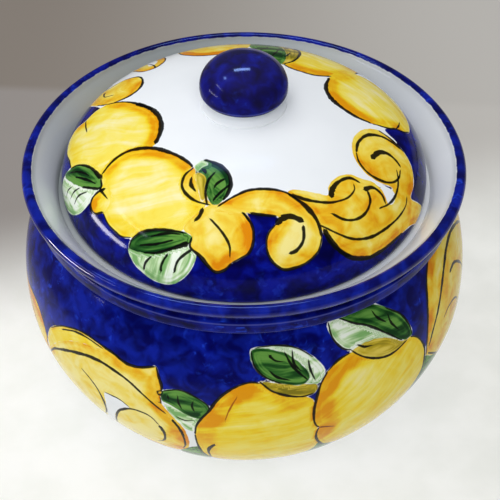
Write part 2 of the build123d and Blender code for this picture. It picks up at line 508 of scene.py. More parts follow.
def lid_painting() -> list[Shape | Line]:
    """What is painted on the lid, from bottom to top.

    The chart has the knob at its middle, the front at -y, and true lengths from the middle out.
    """
    gold, lemon, dark = Pigment.GOLD, Pigment.LEMON, Pigment.DARK_LEAF
    pale, olive, white = Pigment.PALE_LEAF, Pigment.OLIVE, Pigment.WHITE
    return [
        # cobalt that reaches in between the motifs
        Shape(Pigment.COBALT, (
            (-66, 12), (-72, 22), (-80, 36), (-86, 47), (-94, 40), (-91, 20), (-84, 6), (-72, 4),
        )),
        Shape(Pigment.COBALT, (
            (63.5, -6), (70, -1), (78, 4), (85, 6), (91, -6), (89, -26), (80, -26), (72, -13),
        )),
        Shape(Pigment.COBALT, ((1, -61), (14, -62), (14, -74), (12, -86), (-2, -86), (0, -74))),
        # half-hidden scroll end and bud behind the knob
        Shape(gold, (
            (-33, 66), (-30, 54), (-21, 47), (-9, 47), (0, 53), (4, 66), (0, 80), (-14, 88),
            (-28, 80),
        ), 250, 0.9, edges=(Edge(0, 4, 0.9),)),
        Shape(gold, (
            (-42, 41), (-38, 50), (-41, 64), (-47, 75), (-54, 74), (-57, 64), (-55, 50), (-49, 41),
        ), 270, 0.5, 3, edges=(Edge(6, 10, 0.9),)),
        Shape(white, ((-43.5, 46), (-42, 52), (-45, 60), (-48.5, 62), (-48, 54), (-46, 47))),
        Line(((-42, 41), (-43.5, 46), (-48, 54)), 0.9, Press.HEAD),
        Shape(olive, ((-57, 50), (-58, 58), (-64, 66), (-68, 66), (-64, 58), (-61, 51))),
        # comma-shaped scroll at the far left
        Shape(gold, (
            (-48, 21), (-47, 28), (-50, 35), (-58, 38), (-66, 37), (-71, 42), (-69, 52), (-62, 62),
            (-59, 73), (-64, 78), (-73, 72), (-80, 62), (-84, 50), (-81, 38), (-76, 28), (-70, 20),
            (-62, 15), (-53, 16),
        ), 200, 0.4, 4.5, 0.2, 40, edges=(Edge(15, 21, 1.3), Edge(3, 8, 0.8))),
        Line(((-75, 57), (-76, 50), (-70, 45), (-64, 39)), 0.9, Press.HEAD),
        Line(((-68, 33), (-66.5, 26), (-61, 23)), 0.9, Press.HEAD),
        # far lemon, with its leaf
        Shape(lemon, (
            (16, 42), (20, 33), (26, 29), (34, 27), (44, 30.5), (52, 38), (57, 49), (59.5, 57),
            (58, 64), (52, 74), (40, 80), (28, 78), (18, 66), (15, 54),
        ), 265, 0.7, 6, 0.25, -25, edges=(Edge(0, 7, 1.2), Edge(6, 8, 1.2))),
        Shape(dark, (
            (6, 50), (11, 39), (18, 35), (22, 43), (21, 56), (17, 68), (10, 79), (5, 72), (3, 60),
        )),
        Shape(olive, (
            (18, 34.5), (24.5, 42), (27.5, 56), (24.5, 70), (18, 78), (12, 80), (17, 68), (20, 55),
            (20, 43),
        ), edges=(Edge(0, 5, 1.4),)),
        Line(((20.5, 46), (22.5, 52)), 1.0, Press.HEAD),
        Line(((20, 60), (23.5, 66)), 1.0, Press.HEAD),
        Line(((8, 52), (13, 62)), 0.9),
        Line(((13, 43), (17, 55)), 0.9),
        # lemon on the right
        Shape(lemon, (
            (46, 34), (39.5, 27), (37.2, 17), (38.6, 9), (42.8, 3), (49.3, -2), (57, -4.3),
            (65.5, -3.3), (69.8, -1), (74.6, 0.2), (78.3, 3.5), (79.5, 12), (78, 24), (73, 35),
            (63, 42), (53, 41),
        ), 225, 0.8, 5.5, 0.4, -45, edges=(Edge(1, 6, 2.3), Edge(6, 10, 1.2))),
        Line(((72.8, 6.5), (71.6, 2.5), (69.8, -1)), 0.9),
        # lemon on the left
        Shape(lemon, (
            (-63.5, 15.6), (-56, 13), (-48.5, 8), (-40.5, 0.5), (-36.4, -7.6), (-35.9, -15.6),
            (-38, -23), (-46, -30), (-54, -37), (-62, -38), (-71, -32), (-79, -24), (-83, -12),
            (-86.5, -3), (-86.5, 6), (-81.5, 10.5), (-75, 10.5), (-70, 14),
        ), 10, 0.7, 5.0, 0.35, -20, edges=(
            Edge(0, 3, 1.4, Press.TAIL), Edge(2, 6, 2.2, Press.EVEN), Edge(10, 14, 0.8),
        )),
        Line(((-74.8, 10.5), (-74.4, 7), (-72.6, -0.5)), 0.9),
        # large lemon in front of it
        Shape(lemon, (
            (-62.3, -32.3), (-56.3, -26.5), (-49, -23.9), (-39.6, -25), (-30.1, -30.1),
            (-22.9, -36.6), (-18, -45), (-15, -53), (-17, -60), (-22, -66), (-32, -69),
            (-43, -68.5), (-49.7, -66.4), (-54.8, -64.2), (-60.2, -57.7), (-62.6, -51.2),
            (-67.1, -49.3), (-69, -46), (-67.9, -42.4), (-63, -39.6),
        ), 75, 0.6, 4.5, 0.4, 2, edges=(Edge(0, 6, 1.9), Edge(12, 15, 0.9), Edge(15, 20, 1.3))),
        # leaf at its tip
        Shape(pale, (
            (-63.5, -39.2), (-70, -43.6), (-77.3, -44.8), (-85.3, -41), (-91.1, -34.5),
            (-94.3, -25.7), (-93.3, -19.5), (-87, -18.3), (-80, -26), (-72, -33),
        ), 200, 0.0, grain=-50),
        Shape(dark, (
            (-62.8, -34.2), (-68.6, -25.7), (-75.9, -20), (-81.7, -18), (-87.2, -18.3),
            (-80.9, -27), (-73.7, -33.6), (-63.5, -39.2),
        ), grain=-38, edges=(Edge(0, 3, 1.4, Press.HEAD), Edge(6, 8, 1.4))),
        Line(((-81.5, -20.5), (-75, -24.5), (-69, -30)), 1.0),
        Line(((-78, -25.5), (-71, -31), (-65.5, -36)), 1.2),
        Line(((-88, -30), (-85.3, -28.3), (-81, -29)), 0.9),
        Line(((-83.5, -34), (-80, -32.6), (-75, -33.2)), 0.9),
        Line(((-80.6, -38.5), (-76.6, -36.6), (-70.5, -37.6)), 1.0),
        Shape(lemon, (
            (-60.5, -40.5), (-64.5, -40.6), (-68.2, -42.6), (-69.4, -46.2), (-67.6, -49.8),
            (-62.5, -51), (-59, -47),
        ), 180, 0.9, 4.0, 0.0, halo=0.0, edges=(Edge(0, 5, 1.3, Press.EVEN),)),
        Line(((-63.4, -39.4), (-61.8, -42.5), (-59.6, -45.8)), 1.2, Press.HEAD),
        # leaf under it
        Shape(pale, (
            (-51.3, -70), (-51.6, -75), (-49, -80.5), (-43, -86.7), (-34.5, -89.4), (-26, -86.2),
            (-21, -79.5), (-22, -71.5), (-30, -72), (-42, -72),
        ), 300, 0.0, grain=60),
        Shape(dark, (
            (-22.5, -69.6), (-34.5, -66.2), (-43.2, -65.2), (-49, -67), (-51.5, -70.3),
            (-44.6, -74), (-36.7, -75.2), (-23.5, -73.4),
        ), grain=3, edges=(Edge(0, 4, 1.3), Edge(5, 7, 1.5, Press.TAIL))),
        Line(((-40.3, -68), (-33, -68), (-26.5, -69.3)), 1.2),
        Line(((-46, -70.4), (-38, -71.6), (-30, -71.2)), 1.2),
        Line(((-46.9, -81.2), (-44.6, -78), (-41, -76)), 1.1, Press.EVEN),
        Line(((-38.1, -83.6), (-36.7, -80), (-33, -76.4)), 1.2, Press.EVEN),
        Line(((-31.6, -84.4), (-28.7, -79.6), (-22.3, -76)), 1.2, Press.EVEN),
        # small curled leaf by the large lemon
        Shape(dark, (
            (-19.6, -38.6), (-16.8, -35.4), (-13.5, -36.7), (-10, -38.8), (-7.2, -42),
            (-5.9, -45.3), (-5.6, -49), (-6.8, -53), (-8.8, -56.2), (-12, -58.2), (-15, -55),
            (-16.5, -49), (-20, -43),
        ), grain=-55, edges=(Edge(1, 8, 1.7, Press.EVEN),)),
        Shape(gold, (
            (-20.5, -38.5), (-25, -43), (-25.6, -49), (-21, -55), (-12.7, -58.4), (-15.3, -55),
            (-16.5, -49), (-20, -43),
        ), edges=(Edge(0, 4, 1.3),)),
        Shape(olive, (
            (-19.8, -41.8), (-17.4, -42.6), (-15.9, -45), (-16.1, -50), (-16.2, -55), (-18, -55.4),
            (-19.2, -50), (-20.2, -45.5),
        ), grain=-80),
        Shape(pale, (
            (-21, -38.4), (-18.4, -35.9), (-16.6, -36.2), (-14.6, -37.9), (-17.2, -39.2),
            (-19.4, -41.2),
        ), halo=0),
        Line(((-21.9, -43.6), (-22.1, -47.4), (-20, -51.2)), 1.5),
        Line(((-11.9, -42), (-14.8, -46), (-16, -51), (-15.8, -55), (-15.2, -57.8)), 1.3),
        Line(((-7.8, -45.6), (-9.9, -46.8), (-11.8, -48.6), (-12.6, -50.5)), 1.3),
        Line(((-5.8, -48.6), (-8, -50.6), (-10.3, -52.8), (-12.4, -55.2), (-12.8, -56.4)), 1.4),
        Line(((-17.6, -39.8), (-16.3, -41.4), (-15.9, -43)), 1.8),
        # scroll in the middle: a cluster of petals and an arch that curls in
        Shape(gold, (
            (-17, -59.3), (-10, -58), (-1, -60.5), (3, -67), (3.8, -73), (2, -78.5), (-2.5, -81.2),
            (-5.5, -82.5), (-9, -85.4), (-13.5, -85.6), (-19, -79), (-23, -75), (-22, -71),
            (-25.5, -66.5),
        ), 330, 0.45, 4.0, 0.2, -60, edges=(Edge(2, 7, 1.3), Edge(7, 12, 1.6))),
        Line(((-3.6, -58.6), (-0.4, -62), (2.4, -66.4)), 1.2, Press.HEAD),
        Line(((-14.2, -63.8), (-9.8, -69.3), (-6.5, -75), (-6.2, -80.5)), 1.2),
        Line(((-17.1, -59), (-18.6, -62.5), (-20.8, -64.5)), 1.7, Press.EVEN),
        # long scroll on the right, with two small curls and a large one
        Shape(gold, (
            (18, -52.4), (21.4, -50.2), (30.8, -51), (35.2, -51), (35.4, -46.5), (39, -41.6),
            (44.6, -38.8), (50, -39.6), (55.5, -39.5), (60.6, -42.2), (63.6, -42.6), (65.6, -38.8),
            (59, -38.6), (52.5, -36.3), (47.8, -30), (46.6, -22.8), (48.6, -14.9), (54, -9.3),
            (60, -7.6), (67, -11), (72.6, -15), (77, -21), (78.8, -30), (77.6, -38), (85.3, -36),
            (92.5, -34), (91.6, -42.4), (83.8, -48.4), (77, -55.5), (69.5, -64.2), (64.2, -69.4),
            (57.7, -73.6), (49, -75.3), (39.5, -73), (33.5, -68), (25, -58),
        ), 300, 0.35, 4.0, 0.1, 35, edges=(Edge(18, 20, 1.2), Edge(28, 34, 2.0))),
        Shape(white, (
            (58.2, -38.9), (62, -39.6), (66.2, -40.2), (67.6, -43), (66.4, -46.6), (63.6, -47.4),
            (61.6, -44.4), (59.6, -41.4),
        ), halo=0),
        Line((
            (18.5, -52.6), (25, -54.4), (32.3, -54.8), (38.1, -53.7), (43.9, -50.4), (46.8, -46.1),
            (46.4, -43),
        ), 1.3, Press.HEAD),
        Line((
            (36.6, -52), (36.8, -48.5), (39.7, -43.8), (44.6, -40.6), (49.7, -41.8),
        ), 1.9, Press.HEAD),
        Line((
            (53, -44.8), (54.4, -49), (52.6, -54.8), (48.3, -59.1), (42.5, -60.6), (36.6, -59.1),
        ), 1.2, Press.EVEN),
        Line(((51.2, -44.8), (55.5, -42.3), (59.9, -44), (62.4, -48)), 1.6, Press.HEAD),
        Line((
            (59.1, -51), (63, -48.2), (66.4, -43.9), (68.4, -38.8), (68.8, -33), (67.9, -27.9),
        ), 1.2),
        Line((
            (55.4, -27), (59.1, -22.1), (63.5, -20.8), (67.9, -22.8), (70.4, -25.5),
        ), 2.2, Press.HEAD),
        Line((
            (70.2, -27), (69.3, -31.6), (65.7, -35.9), (59.9, -37.4), (54.1, -35.9), (49.7, -31.6),
            (48.3, -25.7),
        ), 1.3),
        Line((
            (48.3, -25.7), (49.7, -19.2), (54.1, -13.4), (59.9, -11.2), (65.7, -12), (71, -14.4),
        ), 1.7),
        Line((
            (31.5, -65), (39.5, -67.1), (47.5, -67.8), (56.2, -64.9), (63.5, -59.1), (70, -51.9),
            (74.4, -43.9), (74.7, -38.8),
        ), 1.3),
        Shape(gold, (
            (-11, -58.8), (-4.5, -54.6), (2, -51.6), (10, -50.8), (17.8, -52.2), (23.6, -56),
            (27.9, -60), (30.9, -64.2), (32.8, -70), (31.7, -76), (27.2, -81), (21.4, -84),
            (16.3, -84.7), (11.2, -81.2), (9.2, -76), (9.8, -70.7), (13, -66.5), (13.6, -63.2),
            (2.2, -62),
        ), 90, 0.3, 3.6, 0.5, 15, edges=(Edge(0, 5, 1.3), Edge(4, 8, 2.0), Edge(8, 16, 1.3))),
        Line((
            (33.4, -66.5), (37, -70.8), (43, -74.6), (50, -75.8), (57.7, -74), (63, -70.8),
        ), 2.0, Press.HEAD),
        Line(((2.4, -62), (8, -62.8), (13.4, -63.1)), 1.3, Press.EVEN),
        Line(((12.9, -66.8), (15.8, -63.8), (19.6, -62.7), (24.8, -64.4)), 2.6, Press.EVEN),
        Line(((24.6, -66), (24.8, -72.2), (22.1, -76.6), (18.8, -78.2)), 1.4, Press.EVEN),
    ]


def belly_painting() -> list[Shape | Line]:
    """What is painted on one half of the belly, from bottom to top; the other half repeats it.

    The chart has the front at x = 0 and the belly's widest part at y = 0, with true lengths there.
    """
    gold, lemon, dark = Pigment.GOLD, Pigment.LEMON, Pigment.DARK_LEAF
    pale, olive, white = Pigment.PALE_LEAF, Pigment.OLIVE, Pigment.WHITE
    return [
        # tall scroll on the right, which runs up to the neck
        Shape(gold, (
            (92.4, 2), (92.2, 12), (93, 20), (95.2, 31), (99, 41), (106, 48), (116, 52), (134, 54),
            (150, 50), (160, 41), (166, 30), (172, 20), (182, 14.5), (194, 13.5), (206, 15.5),
            (214, 15.5), (220.5, 11), (224, 3), (222, -8), (214, -20), (200, -30), (180, -37),
            (156, -38), (134, -32), (116, -20), (102, -8),
        ), 100, 0.45, 6.0, 0.05, 60, edges=(Edge(0, 6, 1.6), Edge(8, 18, 1.2), Edge(18, 25, 1.2))),
        Line((
            (94.1, 7.3), (97.5, 15), (103.5, 23.6), (109.5, 31.3), (116.3, 37.3), (123.2, 41.1),
            (130.9, 42.4), (138.6, 41.5), (150, 36), (161, 27),
        ), 2.1),
        Line((
            (119.8, 30.9), (126.6, 30.9), (133.4, 26.1), (140, 18), (143, 8), (140, -3),
        ), 1.3, Press.HEAD),
        Line(((107.8, 13.3), (112.9, 15.4), (120.5, 14.2), (127, 9), (130, 1)), 1.1),
        Line((
            (152, -30), (150, -16), (154, -2), (163, 8), (176, 12), (188, 7), (194, -3), (192, -14),
            (184, -20),
        ), 1.3),
        Line(((168, 12), (178, 9), (190, 8), (202, 7), (210, 0), (208, -14)), 1.3),
        Shape(white, ((139, -30), (141, -12), (149, 2), (154, -2), (150, -16), (152, -31))),
        # scroll on the left
        Shape(gold, (
            (-108, -6), (-106.4, 4), (-102.3, 13.5), (-94.2, 20.8), (-85.2, 25.7), (-77.1, 27.9),
            (-69, 27.6), (-61, 26.8), (-56, 25.3), (-52, 24.6), (-47, 25.3), (-42, 27.3),
            (-39, 28.4), (-37.3, 23), (-36, 18.4), (-36.5, 10), (-32.5, 4), (-28.5, -1), (-26, -8),
            (-25.6, -18), (-28, -28), (-35, -37), (-48, -42), (-63, -43), (-80, -40), (-94, -32),
            (-104, -20),
        ), -15, 0.45, 7.0, 0.55, -35, edges=(
            Edge(2, 8, 1.1, Press.TAIL), Edge(7, 12, 1.6), Edge(12, 15, 1.5),
        )),
        Shape(white, (
            (-65.5, 0.6), (-58, 1.2), (-52, -1.4), (-55.8, -5), (-58.8, -8.5), (-62.1, -14),
            (-64.6, -21), (-68, -30), (-71, -34), (-74.5, -31), (-71.4, -25), (-68.6, -17),
            (-66.6, -8),
        ), edges=(Edge(0, 2, 0.8),)),
        Shape(lemon, (
            (-107, -4), (-105, 5), (-100.5, 13.5), (-93, 19.8), (-84.5, 24.6), (-76, 26.6),
            (-66, 26.2), (-72, 24), (-82, 20.4), (-92, 13.4), (-100, 5),
        ), 180, 0.0, 3.0, 0.9, -35, halo=0.15, edges=(Edge(3, 6, 1.0),)),
        Line((
            (-107.5, -7.3), (-101.5, 0.5), (-93.4, 7), (-85.2, 12.3), (-77.1, 16.3), (-70.6, 18.2),
            (-64.1, 18.6), (-56, 17.1), (-50.3, 14.7), (-44.7, 10.8), (-39.8, 7), (-34.5, 3.2),
        ), 1.7),
        Line((
            (-31.7, 0.3), (-28.8, -5.5), (-27.6, -12.5), (-28, -22.3), (-30.2, -29),
        ), 1.3, Press.HEAD),
        Line((
            (-79.2, 6.6), (-73.9, 3.7), (-69.8, -0.3), (-67.8, -6), (-67.8, -12.5), (-69.8, -19.9),
            (-73.4, -26),
        ), 1.2),
        Line((
            (-67.6, -31), (-64.1, -20.7), (-60.9, -12.5), (-57.6, -6.8), (-52, -2.2), (-45.5, -1.2),
            (-41.4, -2.8), (-38.6, -6.8),
        ), 1.3),
        Line((
            (-38.4, -7.5), (-36.9, -12.5), (-37.3, -19), (-39.4, -24.7), (-43, -28.6),
        ), 1.4, Press.HEAD),
        # leaves that show between the fruit, low down
        Shape(dark, (
            (-33, -37), (-27, -26), (-22, -21), (-18, -24), (-17, -34), (-19, -43), (-27, -45),
        )),
        Shape(dark, ((31, -26), (39, -25), (44, -35), (40, -44), (31, -42))),
        Shape(dark, ((82, -12), (86, 0), (91, 3.5), (98, -2), (106, -9), (97, -16), (88, -21))),
        Line(((94, 3), (100.1, -2.6), (107, -9)), 1.2),
        # small leaf beside the scroll
        Shape(pale, (
            (-35.7, 11.5), (-28.4, 8), (-19.5, 4.6), (-19.6, -3), (-24, -5.4), (-29, -1),
            (-33.6, 6),
        ), 90, 0.0),
        Shape(dark, (
            (-36.2, 11), (-35.7, 16.7), (-28.4, 19.4), (-21.9, 17.6), (-16, 13.5), (-15, 8.6),
            (-19.5, 4.2), (-25.2, 5.6), (-31.7, 9.2),
        ), edges=(Edge(1, 5, 1.0),)),
        Line(((-38.7, 15.6), (-35.5, 16.7), (-36.9, 13.3), (-38.7, 15.6)), 0.6, Press.EVEN),
        Line(((-36.9, 13.3), (-36.4, 9.2), (-37.8, 9.3)), 0.6, Press.EVEN),
        Line(((-28.8, 16), (-28.6, 12), (-27.2, 8.6)), 1.0),
        Line(((-22, 14.6), (-22.6, 11.5), (-21.6, 8.4)), 1.0),
        Line(((-33.4, 15), (-33, 12.5)), 0.9),
        Line(((-30, 3), (-26, 1.6), (-22, 2.6)), 0.8),
        # large lemon in the middle
        Shape(lemon, (
            (-22, -7.7), (-21.1, -1.2), (-19, 4), (-15.6, 9.5), (-12.6, 15.5), (-8.8, 20.6),
            (-4, 24.4), (2, 26.7), (8, 25.6), (15, 22), (23, 18), (29, 13), (31.5, 4), (31.5, -6),
            (33, -16), (34.5, -26), (33, -37), (26, -46), (15, -51), (3, -52), (-8, -49),
            (-16, -42), (-20, -32), (-21.5, -20),
        ), 120, 0.65, 9.0, 0.0, 12, edges=(Edge(0, 8, 1.4), Edge(21, 24, 1.2))),
        Line(((-13.8, -15.6), (-16.6, -21.5), (-17.6, -28.8), (-17.2, -38)), 1.5, Press.HEAD),
        Line(((-3.4, 19.2), (-6.6, 11.9), (-8.6, 4.5)), 0.7, ink=0.1),
        # its leaf
        Shape(pale, (
            (2.5, 41.6), (8.7, 43), (17.2, 42.6), (24.2, 40), (30.2, 35), (34.1, 29.6),
            (34.4, 25.5), (31, 21.6), (24, 22), (14, 25), (7, 30), (3.4, 35),
        ), 20, 0.0, edges=(Edge(0, 4, 0.9),)),
        Shape(olive, (
            (6, 27), (14.6, 25), (23, 23.5), (30.6, 21.6), (29.6, 17), (24, 16.4), (17, 18.6),
            (11, 22),
        ), edges=(Edge(4, 8, 1.2),)),
        Shape(dark, (
            (2.6, 41.4), (10, 42), (17.5, 39.2), (23.8, 34), (27.4, 28.8), (27.6, 24.6),
            (23.2, 22.8), (15.5, 25), (8.7, 28.8), (4.2, 34),
        ), edges=(Edge(7, 10, 1.1),)),
        Line(((10.4, 39.2), (12.9, 36.4), (16.8, 35.2)), 1.1, Press.HEAD),
        Line(((17.4, 39.6), (20.4, 33), (26.8, 24.8)), 1.3),
        Line(((20.8, 40), (21.2, 34), (24.4, 29.6)), 1.1),
        Line(((10.4, 31.8), (13.8, 28.4), (19.4, 26)), 1.2),
        Line(((27.8, 34.2), (28.3, 29.6), (30.2, 23.8)), 1.1),
        # lemon on the right
        Shape(lemon, (
            (36, 26.6), (33, 21.9), (30.9, 15), (29.7, 8.2), (29.6, 1.3), (30.8, -3.8),
            (32.6, -6.6), (31.8, -10.7), (32.2, -15.8), (34, -21.8), (38, -30), (46, -36.5),
            (57, -39), (68, -37), (79, -30), (87, -18.5), (90.8, -5), (90.8, 6.5), (89, 13.3),
            (84.8, 20.2), (79.6, 24), (70, 28), (62, 31), (54, 32), (47.5, 32), (41, 30.4),
        ), 140, 0.8, 9.0, 0.05, 40, edges=(
            Edge(0, 6, 1.4), Edge(6, 11, 1.4), Edge(15, 20, 1.2), Edge(24, 26, 1.2),
        )),
        Line(((32.6, -6.6), (36, -7.8), (40.3, -10)), 0.9, Press.HEAD, 0.6),
        # its leaf
        Shape(pale, (
            (39, 48.5), (40, 41), (44.2, 35), (49.7, 32.4), (58, 33), (66, 30.5), (75.5, 24.6),
            (68, 37), (60, 44), (50, 49),
        ), 200, 0.0, edges=(Edge(0, 3, 1.1),)),
        Shape(olive, (
            (48, 32.8), (58.2, 33.8), (66.8, 31), (74.5, 25), (80.4, 23.8), (71, 21.4), (64, 22),
            (56.5, 25.4), (51, 29.6),
        ), edges=(Edge(4, 9, 1.2),)),
        Shape(dark, (
            (43, 50), (51.4, 44.4), (58.2, 40.7), (66.8, 33.2), (75.3, 24.6), (81.6, 24),
            (80.6, 30.4), (76.4, 38), (69.3, 44.5), (62, 49.5), (52, 52),
        ), edges=(Edge(0, 4, 1.2), Edge(5, 8, 1.1))),
        Line(((62, 46), (64, 42), (68, 38)), 1.1),
        Line(((70, 41), (70.6, 36.5), (74, 31)), 1.1),
        Line(((51, 34.4), (54.8, 31.8), (58.6, 31)), 1.1),
    ]


# ---------------------------------------------------------------- finishes

VECTOR, NUMBER, COLOUR = "NodeSocketVector", "NodeSocketFloat", "NodeSocketColor"

Colour = tuple[float, float, float, float]


def pigment(red: int, green: int, blue: int) -> Colour:
    """A colour as the eye names it, 0 to 255, in the linear values that a shader takes."""
    linear = (
        c / 255 / 12.92 if c <= 10 else ((c / 255 + 0.055) / 1.055) ** 2.4
        for c in (red, green, blue)
    )
    return (*linear, 1.0)


def pigments(*colours: tuple[int, int, int]) -> tuple[Colour, ...]:
    """Several colours at once."""
    return tuple(pigment(*colour) for colour in colours)


@dataclass(frozen=True)
class Palette:
    """Colours of the jar: yellows and greens from light to dark, cobalts from thick to thin."""

    # the third white is the grey of the painted shade in the gallery
    white: tuple = pigments((242, 245, 248), (233, 237, 241), (138, 145, 146))
    iron: Colour = pigment(96, 92, 88)
    cobalt: tuple = pigments((3, 2, 56), (4, 6, 98), (8, 20, 138), (28, 62, 200))
    # the last thin cobalt is the pale grey of the wash broken over edges and of the painted
    # highlight on them
    thin_cobalt: tuple = pigments((6, 12, 102), (20, 44, 166), (96, 102, 176))
    thick_glaze: Colour = pigment(72, 66, 92)
    lemon: tuple = pigments((245, 236, 182), (243, 225, 100), (241, 210, 42), (228, 153, 14))
    gold: tuple = pigments((244, 229, 142), (240, 213, 80), (236, 188, 38), (222, 136, 12))
    pale_leaf: tuple = pigments((236, 244, 230), (194, 220, 170), (126, 176, 106))
    dark_leaf: tuple = pigments((98, 150, 66), (48, 102, 40), (16, 56, 22))
    olive: tuple = pigments((222, 200, 84), (192, 168, 42), (130, 120, 26))
    ink: tuple = pigments((12, 13, 12), (172, 84, 20))
    clay: tuple = pigments((214, 176, 148), (196, 150, 118))


class Value:
    """A socket on a sheet, to reckon with as with a number."""

    def __init__(self, sheet: "Sheet", socket: bpy.types.NodeSocket) -> None:
        """Takes the sheet that its steps are drawn on."""
        self.sheet = sheet
        self.socket = socket

    def step(self, operation: str, other: object = 0.0, clamp: bool = False) -> "Value":
        """One step of arithmetic, with this value first."""
        return self.sheet.reckon(operation, self, other, clamp)

    def __add__(self, other: object) -> "Value":
        """This value and another."""
        return self.step("ADD", other)

    def __sub__(self, other: object) -> "Value":
        """This value less another."""
        return self.step("SUBTRACT", other)

    def __mul__(self, other: object) -> "Value":
        """This value times another."""
        return self.step("MULTIPLY", other)

    def soft(self, low: float, high: float) -> "Value":
        """Goes softly from 0 where this value is low to 1 where it is high."""
        feeds = {"Value": self, "From Min": low, "From Max": high}
        return self.sheet.draw("ShaderNodeMapRange", feeds, interpolation_type="SMOOTHSTEP")


class Sheet:
    """Draws nodes on one shader or group tree."""

    def __init__(self, tree: bpy.types.NodeTree) -> None:
        """Takes the tree that the nodes go on."""
        self.tree = tree

    def feed(self, node: bpy.types.Node, feeds: dict) -> None:
        """Links or sets a node's inputs, by name or number."""
        for key, value in feeds.items():
            if isinstance(value, Value):
                self.tree.links.new(value.socket, node.inputs[key])
            else:
                node.inputs[key].default_value = value

    def node(self, kind: str, feeds: dict | None = None, **settings: object) -> bpy.types.Node:
        """Adds a node.

        Args:
            kind: The node's type.
            feeds: For each input, by name or number, a value to link or to set.
            **settings: The node's own settings.

        Returns:
            The node.
        """
        made = self.tree.nodes.new(kind)
        for key, value in settings.items():
            setattr(made, key, value)
        self.feed(made, feeds or {})
        return made

    def draw(self, kind: str, feeds: dict, out: int | str = 0, **settings: object) -> Value:
        """Adds a node for the sake of one output."""
        return Value(self, self.node(kind, feeds, **settings).outputs[out])

    def reckon(self, operation: str, first: object, second: object, clamp: bool = False) -> Value:
        """One step of arithmetic on numbers."""
        feeds = {0: first, 1: second}
        return self.draw("ShaderNodeMath", feeds, operation=operation, use_clamp=clamp)

    def mix(self, factor: object, below: object, above: object) -> Value:
        """Lays one colour over another."""
        return self.draw("ShaderNodeMix", {0: factor, 6: below, 7: above}, 2, data_type="RGBA")

    def noise(
        self, place: Value, size: float, detail: float = 2.0, rough: float = 0.5, swirl: float = 0.0
    ) -> Value:
        """Cloudy noise whose spots are about a size in millimetres across."""
        feeds = {"Scale": 1.0 / size, "Detail": detail, "Roughness": rough, "Distortion": swirl}
        return self.draw("ShaderNodeTexNoise", {"Vector": place, **feeds}, "Fac")

    def ramp(self, factor: Value, colours: tuple, places: tuple) -> Value:
        """A run of colours."""
        made = self.node("ShaderNodeValToRGB", {0: factor})
        stops = made.color_ramp.elements
        while len(stops) < len(colours):
            stops.new(1.0)
        for stop, colour, place in zip(stops, colours, places):
            stop.position = place
            stop.color = colour
        return Value(self, made.outputs[0])

    def parts(self, vector: Value) -> list[Value]:
        """The three numbers of a vector."""
        split = self.node("ShaderNodeSeparateXYZ", {0: vector})
        return [Value(self, part) for part in split.outputs]

    def join(self, x: Value, y: Value) -> Value:
        """A vector from two numbers."""
        return self.draw("ShaderNodeCombineXYZ", {0: x, 1: y})

    def kept(self, name: str, out: str = "Fac") -> Value:
        """What is kept on the piece's vertices under a name: one number, or with "Vector" three."""
        return self.draw("ShaderNodeAttribute", {}, out, attribute_name=name)

    def place(self) -> Value:
        """The surface's own place."""
        return self.draw("ShaderNodeTexCoord", {}, "Object")

    def group(self, tree: bpy.types.NodeTree, feeds: dict) -> list[Value]:
        """What a shader group gives."""
        node = self.node("ShaderNodeGroup", feeds, node_tree=tree)
        return [Value(self, out) for out in node.outputs]

    def surface(self, feeds: dict) -> None:
        """Ends a material in its surface."""
        shader = self.draw("ShaderNodeBsdfPrincipled", feeds, "BSDF")
        self.node("ShaderNodeOutputMaterial", {"Surface": shader})


def new_group(name: str, inputs: dict, outputs: dict) -> tuple[Sheet, dict, bpy.types.Node]:
    """Starts a shader group.

    Args:
        name: The group's name.
        inputs: The socket type of each input, by name.
        outputs: The socket type of each output, by name.

    Returns:
        Its sheet, its inputs by name, and the node that takes its outputs.
    """
    tree = bpy.data.node_groups.new(name, "ShaderNodeTree")
    for direction, sockets in (("INPUT", inputs), ("OUTPUT", outputs)):
        for label, kind in sockets.items():
            tree.interface.new_socket(name=label, in_out=direction, socket_type=kind)
    sheet = Sheet(tree)
    given = {socket.name: Value(sheet, socket) for socket in sheet.node("NodeGroupInput").outputs}
    return sheet, given, sheet.node("NodeGroupOutput")


def new_material(name: str) -> tuple[bpy.types.Material, Sheet]:
    """Starts a material on an empty sheet."""
    material = bpy.data.materials.new(name)
    material.use_nodes = True
    material.node_tree.nodes.clear()
    return material, Sheet(material.node_tree)


